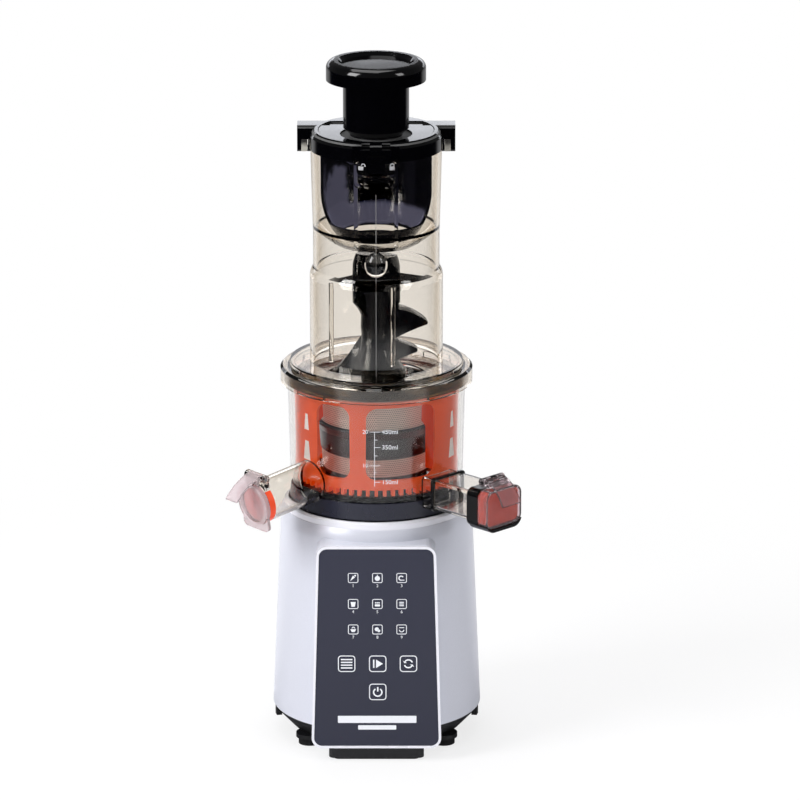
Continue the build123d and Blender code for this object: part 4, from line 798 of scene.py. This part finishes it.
def sign_shapes(bm, kind, x, z, front):
    """One of nine plain pictures of foods and tools, its sizes in shares of the sign's."""
    s, t = SIGN * MM, PRINT
    if kind == 0:
        root = [(x - 0.28 * s, z - 0.3 * s), (x + 0.2 * s, z + 0.06 * s), (x - 0.02 * s, z + 0.24 * s)]
        wedge(bm, root, front, t)
        plate(bm, x + 0.2 * s, z + 0.24 * s, 0.16 * s, 0.16 * s, front, t, 0.04 * s)
    elif kind == 1:
        disc(bm, x, z - 0.05 * s, 0.25 * s, front, t)
        plate(bm, x, z + 0.27 * s, 0.06 * s, 0.14 * s, front, t)
    elif kind == 2:
        arc(bm, x - 0.05 * s, z - 0.02 * s, 0.16 * s, 0.1 * s, 30, 250, front, t)
        plate(bm, x + 0.12 * s, z - 0.22 * s, 0.3 * s, 0.07 * s, front, t)
    elif kind == 3:
        bucket(bm, x, z, s, 0.2, -0.28, 0.24, 0.16, front)
    elif kind == 4:
        plate(bm, x, z - 0.14 * s, 0.5 * s, 0.22 * s, front, t, 0.06 * s)
        for k in (-1, 0, 1):
            disc(bm, x + k * 0.16 * s, z + 0.12 * s, 0.075 * s, front, t, 12)
    elif kind == 5:
        for k in (-1, 0, 1):
            plate(bm, x, z + k * 0.17 * s, 0.44 * s, 0.09 * s, front, t)
    elif kind == 6:
        bucket(bm, x, z, s, 0.02, -0.26, 0.28, 0.14, front)
        arc(bm, x + 0.02 * s, z + 0.1 * s, 0.1 * s, 0.07 * s, 0, 180, front, t)
    elif kind == 7:
        disc(bm, x - 0.06 * s, z + 0.02 * s, 0.2 * s, front, t)
        disc(bm, x + 0.14 * s, z - 0.14 * s, 0.14 * s, front, t, 14)
    else:
        arc(bm, x, z - 0.04 * s, 0.17 * s, 0.08 * s, 180, 180, front, t)
        plate(bm, x, z + 0.18 * s, 0.5 * s, 0.07 * s, front, t)


ARROW_SWEEP = 130.0  # how far round each of the two turning arrows runs, in degrees
ARROW_REACH = 0.24


def key_shapes(bm, kind, x, z, front):
    """The picture on one of the four touch keys, its sizes in shares of the key's."""
    s, t = KEY * MM, PRINT
    if kind == "menu":
        for k in (-1.5, -0.5, 0.5, 1.5):
            plate(bm, x, z + k * 0.17 * s, 0.66 * s, 0.075 * s, front, t)
    elif kind == "run":
        plate(bm, x - 0.23 * s, z, 0.08 * s, 0.5 * s, front, t)
        wedge(bm, [(x - 0.1 * s, z - 0.26 * s), (x + 0.3 * s, z), (x - 0.1 * s, z + 0.26 * s)], front, t)
    elif kind == "again":
        for start in (20, 200):
            arc(bm, x, z, 0.2 * s, 0.075 * s, start, ARROW_SWEEP, front, t)
            end = math.radians(start + ARROW_SWEEP)
            past = math.radians(start + ARROW_SWEEP + 10)
            barbs = [(x + r * s * math.cos(end), z + r * s * math.sin(end)) for r in (0.1, 0.37)]
            tip = (
                x + ARROW_REACH * s * (2 * math.cos(past) - math.cos(end)),
                z + ARROW_REACH * s * (2 * math.sin(past) - math.sin(end)),
            )
            wedge(bm, [*barbs, tip], front, t)
    else:
        arc(bm, x, z - 0.02 * s, 0.2 * s, 0.08 * s, 125, 290, front, t)
        plate(bm, x, z + 0.16 * s, 0.085 * s, 0.28 * s, front, t, 0.03 * s)


class DRESS_OT_panel(bpy.types.Operator):
    """Prints the programme signs, touch keys and bare plates on the panel"""

    bl_idname = "dress.panel"
    bl_label = "Printed panel"

    def execute(self, context):
        white = printed_white()
        front = PANEL_Y - PRINT * STANDS_OUT
        line = look().frame_line
        places = [(across, up) for up in ROWS for across in COLUMNS]
        bm = bmesh.new()
        for kind, (across, up) in enumerate(places):
            x, z = at(across, up)
            outline(bm, x, z, SIGN * MM, SIGN * MM, front, PRINT, SIGN_CORNER * MM, line)
            sign_shapes(bm, kind, x, z, front)
        settle("programme_signs", bm, white, "base")
        bm = bmesh.new()
        for kind, (across, up) in enumerate(places):
            x, z = at(across, up - NUMBER_DROP)
            figures(bm, str(kind + 1), x, z, look().number_height, front, PRINT)
        settle("programme_numbers", bm, white, "base")
        bm = bmesh.new()
        for kind, (across, up) in KEYS.items():
            x, z = at(across, up)
            outline(bm, x, z, KEY * MM, KEY * MM, front, PRINT, KEY_CORNER * MM, line * KEY_LINE)
            key_shapes(bm, kind, x, z, front)
        settle("touch_keys", bm, white, "base")
        bm = bmesh.new()
        for across, up, width, height in PLATES:
            x, z = at(across, up)
            plate(bm, x, z, width * MM, height * MM, front, PRINT, PLATE_CORNER * MM)
        settle("bare_plates", bm, white, "base")
        return {"FINISHED"}


# ---------------------------------------------------------------- measuring scale on the bowl, in millimetres
SCALE_X = -1.3
LINE = 0.4
FIGURES_OFF = 3.4  # from a mark's middle to its figures
LEFT_MARK = 4.0
LEFT_FIGURES = 4.6
BOWL_FOOT_R = 69.0
BOWL_FOOT_Z = 210.5
BOWL_LEAN = 2.0  # how far the wall leans out
BOWL_LEAN_H = 83.5  # over this height
OFF_WALL = 1.4  # from the wall to the printing's face, in thicknesses of printing
TAIL = 3.5  # how far the scale's line runs on below its last mark
TICKS = (  # height, length, figures
    (270.4, 4.6, "450ml"),
    (263.8, 2.4, ""),
    (257.6, 4.6, "350ml"),
    (250.6, 2.4, ""),
    (242.4, 4.6, ""),
    (236.6, 2.4, ""),
    (228.7, 4.6, "150ml"),
)
LEFT_TICKS = ((270.4, "20"), (242.4, "10"))


def skin(up):
    """The face of the printing at the bowl's front, whose wall leans out as it rises."""
    return AXIS.y - (BOWL_FOOT_R + BOWL_LEAN * (up - BOWL_FOOT_Z) / BOWL_LEAN_H) * MM - PRINT * OFF_WALL


class DRESS_OT_scale(bpy.types.Operator):
    """Prints the measuring scale on the bowl's front"""

    bl_idname = "dress.scale"
    bl_label = "Measuring scale"

    def execute(self, context):
        bm = bmesh.new()
        for up, length, label in TICKS:
            x, z = at(SCALE_X + length / 2, up)
            plate(bm, x, z, length * MM, LINE * MM, skin(up), PRINT)
            if label:
                figures(bm, label, x + FIGURES_OFF * MM, z, look().mark_height, skin(up), PRINT, "LEFT")
        for up, label in LEFT_TICKS:
            x, z = at(SCALE_X - LEFT_MARK / 2, up)
            plate(bm, x, z, LEFT_MARK * MM, LINE * MM, skin(up), PRINT)
            figures(bm, label, x - (LEFT_MARK - 1.0) * MM, z, LEFT_FIGURES * MM, skin(up), PRINT, "RIGHT")
        foot, top = TICKS[-1][0] - TAIL, TICKS[0][0]
        left, right = AXIS.x + (SCALE_X - LINE / 2) * MM, AXIS.x + (SCALE_X + LINE / 2) * MM
        corners = ((left, foot), (right, foot), (right, top), (left, top))
        thicken(bm, [bm.faces.new([bm.verts.new((x, skin(up), up * MM)) for x, up in corners])], PRINT)
        settle("measuring_scale", bm, printed_white(), "bowl")
        return {"FINISHED"}


# ---------------------------------------------------------------- padlock signs, in millimetres
LOCKS_UP = 479.3
OPEN_LOCK = -11.8
SHUT_LOCK = 12.7
SHACKLE_LEAN = 1.9  # how far the open padlock's shackle stands aside
SHACKLE_LEG = 1.37  # from the shackle's middle to its leg's
HOPPER_WALL = 52.0


class DRESS_OT_locks(bpy.types.Operator):
    """Prints the open and closed padlocks beside the latch"""

    bl_idname = "dress.locks"
    bl_label = "Padlock signs"

    def execute(self, context):
        bm = bmesh.new()
        for across, lean, legs in ((OPEN_LOCK, SHACKLE_LEAN, (1,)), (SHUT_LOCK, 0.0, (1, -1))):
            x, z = at(across, LOCKS_UP)
            plate(bm, x, z, 4.0 * MM, 3.0 * MM, 0, PRINT, 0.4 * MM)
            arc(bm, x + lean * MM, z + 2.2 * MM, 1.0 * MM, 0.75 * MM, 0, 180, 0, PRINT)
            for side in legs:
                leg = x + (lean + side * SHACKLE_LEG) * MM
                plate(bm, leg, z + 1.85 * MM, 0.75 * MM, 0.8 * MM, 0, PRINT)
        for corner in bm.verts:  # bends the flat signs round the hopper's wall
            aside = corner.co.x - AXIS.x
            corner.co.y += AXIS.y - math.sqrt((HOPPER_WALL * MM) ** 2 - aside**2) - PRINT
        settle("padlock_signs", bm, printed_white(), "lid")
        return {"FINISHED"}


# ---------------------------------------------------------------- small inserts, in millimetres
SHEET_FOOT = 224.0
SHEET_BEARINGS = (64.0, 184.0, 304.0)  # degrees
SLOT_SHEETS = ((13.9, 29.3, 4.4), (38.8, 51.8, 3.0))  # low and high over the foot, half width at the low end
SHEET_TAPER = 0.6
SHEET_T = 2.0
CAGE_R = 65.0
CAGE_FOOT = 220.0
CAGE_SLOPE = 70.0  # the height over which the cage grows by 1 in radius
LUG_WINDOWS = (-56.9, 56.5)
WINDOW_UP = 482.6
WINDOW_BACK = 11.8
WINDOW_SIZE = (4.9, 9.8)


class DRESS_OT_inserts(bpy.types.Operator):
    """Sets pale sheets of painted light in the wiper's slots and the clear blocks, with painted glints, in
    the hinge lugs
    """

    bl_idname = "dress.inserts"
    # the pads in this label are the sheets of painted light in the wiper's slots
    bl_label = "Pads and lug blocks"

    def execute(self, context):
        bm = bmesh.new()
        for bearing in SHEET_BEARINGS:
            for low, high, half in SLOT_SHEETS:
                before = set(bm.verts)
                radius = CAGE_R + (SHEET_FOOT + low - CAGE_FOOT) / CAGE_SLOPE
                corners = ((-half, low), (half, low), (half * SHEET_TAPER, high), (-half * SHEET_TAPER, high))
                points = [at(across, SHEET_FOOT + up) for across, up in corners]
                wedge(bm, points, AXIS.y - radius * MM, SHEET_T * MM)
                turn = Matrix.Rotation(math.radians(bearing), 3, "Z")
                bmesh.ops.rotate(bm, verts=[v for v in bm.verts if v not in before], cent=AXIS, matrix=turn)
        settle("wiper_slot_light", bm, glowing_slot_sheet(), "wiper")
        bm = bmesh.new()
        width, height = WINDOW_SIZE
        for across in LUG_WINDOWS:
            x, z = at(across, WINDOW_UP)
            plate(bm, x, z, width * MM, height * MM, AXIS.y + WINDOW_BACK * MM, 0.4 * MM, 0.5 * MM)
        settle("lug_blocks", bm, lug_glass(), "lid")
        return {"FINISHED"}


# ---------------------------------------------------------------- the lid's inner shapes, in millimetres
GUARD = 44.0  # outer radius
GUARD_ROUND = 450.0  # height at which the wall starts to curve in
GUARD_DROP = 52.0
GUARD_MOUTH = 31.0
GUARD_TOP = 483.6
GUARD_WALL = 2.2
GUARD_OPEN = 424.0  # below this it goes all the way round
GUARD_LAP = 2.0  # how far up into the open part the whole ring reaches
GUARD_FROM = 84.0  # bearing at which the open part starts
GUARD_SWEEP = 192.0
RIBS = (-45.5, 15.5)  # bearings
RIB_RADIUS = 1.8
RIB_MIDDLE = 350.0
RIB_LENGTH = 64.0
DRUM_IN = 50.5
SEAM = ((53.0, 309.0), (53.0, 379.0), (50.4, 389.0), (50.2, 415.0), (51.3, 458.0))  # radius, height
SEAM_WIDE = 0.3
SEAM_OFF = 0.12  # how far its face stands off the wall
SEAM_DEEP = 0.1


def ring(inner, outer, low, high):
    """The section of a plain ring, for turned."""
    return [(inner, low), (outer, low), (outer, high), (inner, high)]


def turned(bm, points, start=0.0, sweep=360.0, steps=96):
    """A solid of revolution about the drive axis from its section (radius, height).

    Bearings are in degrees from the front toward the right.
    """
    corners = [bm.verts.new((AXIS.x, AXIS.y - r * MM, z * MM)) for r, z in points]
    face = bm.faces.new(corners)
    bmesh.ops.rotate(
        bm, verts=corners, cent=(AXIS.x, AXIS.y, 0), matrix=Matrix.Rotation(math.radians(start), 3, "Z")
    )
    whole = sweep >= 360
    bmesh.ops.spin(
        bm,
        geom=[face],
        cent=(AXIS.x, AXIS.y, 0),
        axis=(0, 0, 1),
        angle=math.radians(sweep),
        steps=steps,
        use_merge=whole,
        use_duplicate=False,
    )
    if whole:
        bmesh.ops.delete(bm, geom=[face], context="FACES_ONLY")


def guard_curve(radius, drop, count=14):
    """The guard's foot, from its wall down and in to the mouth."""
    end = math.acos(GUARD_MOUTH / radius)
    turns = [end * k / count for k in range(count + 1)]
    return [(radius * math.cos(t), GUARD_ROUND - drop * math.sin(t)) for t in turns]


def seam(bm):
    """The fine raised line up the lid's front, drawn from a short edge pulled up the wall."""
    half = SEAM_WIDE * MM / 2
    radius, height = SEAM[0]
    front = AXIS.y - (radius + SEAM_OFF) * MM
    edge = bm.edges.new([bm.verts.new((x, front, height * MM)) for x in (AXIS.x - half, AXIS.x + half)])
    for (r0, z0), (r1, z1) in zip(SEAM, SEAM[1:]):
        made = bmesh.ops.extrude_edge_only(bm, edges=[edge])["geom"]
        moved = [g for g in made if isinstance(g, bmesh.types.BMVert)]
        bmesh.ops.translate(bm, verts=moved, vec=(0, -(r1 - r0) * MM, (z1 - z0) * MM))
        edge = next(g for g in made if isinstance(g, bmesh.types.BMEdge))
    thicken(bm, list(bm.faces), SEAM_DEEP * MM)


class DRESS_OT_guard(bpy.types.Operator):
    """Makes the feed chamber's black guard with its rolled foot"""

    bl_idname = "dress.guard"
    bl_label = "Feed guard"

    def execute(self, context):
        outer = guard_curve(GUARD, GUARD_DROP)
        inner = guard_curve(GUARD - GUARD_WALL, GUARD_DROP - GUARD_WALL)
        upper, upper_in = ([p for p in curve if p[1] >= GUARD_OPEN] for curve in (outer, inner))
        foot, foot_in = ([p for p in curve if p[1] <= GUARD_OPEN + GUARD_LAP] for curve in (outer, inner))
        bm = bmesh.new()
        wall = [(GUARD, GUARD_TOP), *upper, *reversed(upper_in), (GUARD - GUARD_WALL, GUARD_TOP)]
        turned(bm, wall, GUARD_FROM, GUARD_SWEEP, 72)
        turned(bm, [*foot, *reversed(foot_in)])
        guard = settle("guard_wall", bm, NODES["feed_guard"].data.materials[0], "lid")
        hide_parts("feed_guard")
        return {"FINISHED"}


class DRESS_OT_lid_lines(bpy.types.Operator):
    """Makes the clear ribs in the drum, the mould seam with its painted highlight, the amber under the lid's
    flange and a dark sheet of painted shade on the drum's shoulder
    """

    bl_idname = "dress.lid_lines"
    bl_label = "Lid ribs and seam"

    def execute(self, context):
        clear = NODES["hopper"].data.materials[0]
        bm = bmesh.new()
        for bearing in RIBS:
            turn = math.radians(bearing)
            reach = (DRUM_IN - RIB_RADIUS) * MM
            place = (AXIS.x + reach * math.sin(turn), AXIS.y - reach * math.cos(turn), RIB_MIDDLE * MM)
            radius, length = RIB_RADIUS * MM, RIB_LENGTH * MM
            rib = bmesh.ops.create_cone(
                bm, cap_ends=True, segments=20, radius1=radius, radius2=radius, depth=length
            )
            bmesh.ops.translate(bm, verts=rib["verts"], vec=place)
        settle("drum_ribs", bm, clear, "lid")
        bm = bmesh.new()
        seam(bm)
        settle("mould_seam", bm, seam_grey(), "lid")
        bm = bmesh.new()
        turned(bm, ring(40.0, 66.0, 296.2, 297.4))
        turned(bm, ring(72.6, 73.6, 296.0, 304.0), -100, 200, 72)
        settle("lid_ambers", bm, deep_amber(), "lid")
        bm = bmesh.new()
        # painted shade: a dark sheet on the drum's shoulder
        turned(bm, ring(15.0, 49.2, 384.0, 384.3), -48, 110, 44)
        settle("shoulder_painted_shade", bm, painted_shade_veil(), "lid")
        return {"FINISHED"}


# ---------------------------------------------------------------- finishes for all CAD nodes
class DRESS_OT_finishes(bpy.types.Operator):
    """Gives every moulded, cast and turned piece its finish"""

    bl_idname = "dress.finishes"
    bl_label = "Finishes"

    def execute(self, context):
        for recipe, names in FINISH_OF.items():
            finish = recipe()
            for name in names:
                wear(NODES[name], finish)
        red = soft_silicone("red_silicone", tuple(look().seals))
        for name in RED_PARTS:
            wear(NODES[name], red)
        dark = soft_silicone("dark_silicone", SEAL_DARK)
        for name in DARK_SEALS:
            wear(NODES[name], dark)
        bare = [name for name, node in NODES.items() if not node.data.materials]
        if bare:
            raise RuntimeError(f"nodes with no finish: {bare}")
        return {"FINISHED"}


# ---------------------------------------------------------------- studio
CAMERA_OFF = (18.8, -4000.0, 1457.0)  # from the drive axis on the worktop, in millimetres
CAMERA_PITCH = 16.45  # degrees down from level
LENS = 234.54
FLOOR_HALF = 6.0
PLAIN = (1.0, 1.0, 1.0)
COOL = (0.92, 0.94, 1.0)
LAMPS = (  # name, place, height aimed at, width, height, watts, tint
    ("left_box", (-1.5, -1.0, 1.3), 0.3, 0.8, 1.3, 34, PLAIN),
    ("right_box", (1.5, -0.9, 1.2), 0.3, 0.5, 1.0, 9, PLAIN),
    ("top_box", (-0.2, 0.1, 2.0), 0.3, 1.2, 1.2, 13, PLAIN),
    ("back_box", (0.0, 1.6, 0.855), 0.58, 2.6, 0.08, 1.8, COOL),
    ("back_low", (0.0, 1.6, 0.67), 0.4, 2.6, 0.29, 2.4, COOL),
)


def lamp(name, place, aim_up, width, height, power, tint):
    """A soft box aimed at a height over the floor's middle."""
    light = bpy.data.lights.new(name, "AREA")
    light.color = tint
    light.shape = "RECTANGLE"
    light.size = width
    light.size_y = height
    light.energy = power
    holder = bpy.data.objects.new(name, light)
    holder.location = place
    holder.rotation_euler = (Vector((0, 0, aim_up)) - Vector(place)).to_track_quat("-Z", "Y").to_euler()
    bpy.context.scene.collection.objects.link(holder)


def pale_floor():
    """Floor that stays as pale as the backdrop and keeps the shadow.

    Gloss sees it pale only near the juicer, in a strip toward the front and behind. Clear plastic sees it
    dark beyond a metre toward the front.
    """
    finish, r = new_finish("pale_floor")
    spot = r.node("ShaderNodeTexCoord")["Object"]
    x, y, _ = r.split(spot)
    grain = r.noise(spot, 3.0, 2.0)
    body = r.node("ShaderNodeBsdfDiffuse", None, {"Color": r.blend(grain, dimmed(WORKTOP, 0.99), WORKTOP)})
    glow = r.node("ShaderNodeEmission", None, {"Color": (1, 1, 1, 1), "Strength": 1.0})
    dark = r.node("ShaderNodeBsdfDiffuse", None, {"Color": ink(40, 40, 46)})
    seen = r.node("ShaderNodeLightPath")
    away = (x * x + y * y).soft(0.04, 0.5)
    share = (seen["Is Camera Ray"] + seen["Is Transmission Ray"]) * (0.75 + 0.25 * away)
    lit = r.node("ShaderNodeMixShader", None, {0: share, 1: body["BSDF"], 2: glow["Emission"]})
    bearing = x.angle(0.0 - y)
    strip = bearing.soft(-0.95, -0.6) * (1.0 - bearing.soft(0.85, 1.2))
    behind = bearing.size().soft(2.1, 2.5)
    near = 1.0 - (x * x + y * y).soft(1.2, 1.8)
    card = (strip * near + behind + near * 0.35).soft(0.0, 1.0)
    hidden = seen["Is Glossy Ray"] * (1.0 - card) + seen["Is Transmission Ray"] * (0.0 - y).soft(1.0, 1.35)
    mixed = r.node("ShaderNodeMixShader", None, {0: hidden, 1: lit["Shader"], 2: dark["BSDF"]})
    r.node("ShaderNodeOutputMaterial", None, {"Surface": mixed["Shader"]})
    return finish


def studio_air():
    """World: white behind and beside the juicer, dark on the camera's side for gloss."""
    world = bpy.data.worlds.new("studio_air")
    world.use_nodes = True
    r = Recipe(world.node_tree)
    toward_back = r.split(r.node("ShaderNodeTexCoord")["Generated"])[1]
    path = r.node("ShaderNodeLightPath")
    through = path["Is Camera Ray"] + path["Is Transmission Ray"] * toward_back.soft(-0.3, 0.1)
    plain = 1.0 - path["Is Glossy Ray"] - path["Is Camera Ray"] - path["Is Transmission Ray"]
    strength = through + path["Is Glossy Ray"] * 0.1 + plain * 0.38
    air = r.node("ShaderNodeBackground", None, {"Color": (1, 1, 1, 1), "Strength": strength})
    r.node("ShaderNodeOutputWorld", None, {"Surface": air["Background"]})
    return world


class DRESS_OT_stage(bpy.types.Operator):
    """Sets up the floor, lamps, air and camera"""

    bl_idname = "dress.stage"
    bl_label = "Stage"

    def execute(self, context):
        scene = context.scene
        bm = bmesh.new()
        bmesh.ops.create_grid(bm, x_segments=1, y_segments=1, size=FLOOR_HALF)
        mesh = bpy.data.meshes.new("floor")
        bm.to_mesh(mesh)
        bm.free()
        mesh.materials.append(pale_floor())
        floor = bpy.data.objects.new("floor", mesh)
        scene.collection.objects.link(floor)
        for box in LAMPS:
            lamp(*box)
        scene.world = studio_air()
        scene.view_settings.view_transform = "Standard"
        camera = bpy.data.cameras.new("camera")
        camera.lens = LENS
        camera.sensor_width = 36
        camera.clip_end = 50
        holder = bpy.data.objects.new("camera", camera)
        off = Vector(CAMERA_OFF) * MM
        holder.location = (AXIS.x + off.x, AXIS.y + off.y, off.z)
        holder.rotation_euler = (math.radians(90 - CAMERA_PITCH), 0, 0)
        scene.collection.objects.link(holder)
        scene.camera = holder
        return {"FINISHED"}


class DRESS_PT_sidebar(bpy.types.Panel):
    """Lists the settings and the pieces that can be made"""

    bl_idname = "DRESS_PT_sidebar"
    bl_label = "Juicer"
    bl_space_type = "VIEW_3D"
    bl_region_type = "UI"
    bl_category = "Juicer"

    def draw(self, context):
        for setting in LookSettings.__annotations__:
            self.layout.prop(context.scene.juicer_look, setting)
        for operator in OPERATORS:
            self.layout.operator(operator.bl_idname)


OPERATORS = (
    DRESS_OT_finishes,
    DRESS_OT_panel,
    DRESS_OT_scale,
    DRESS_OT_locks,
    DRESS_OT_inserts,
    DRESS_OT_guard,
    DRESS_OT_lid_lines,
    DRESS_OT_stage,
)
CLASSES = (LookSettings, *OPERATORS, DRESS_PT_sidebar)


def register():
    for kind in CLASSES:
        bpy.utils.register_class(kind)
    bpy.types.Scene.juicer_look = bpy.props.PointerProperty(type=LookSettings)


def unregister():
    del bpy.types.Scene.juicer_look
    for kind in reversed(CLASSES):
        bpy.utils.unregister_class(kind)


def main():
    register()
    for operator in OPERATORS:
        group, verb = operator.bl_idname.split(".")
        getattr(getattr(bpy.ops, group), verb)()


if __name__ == "__main__":
    main()
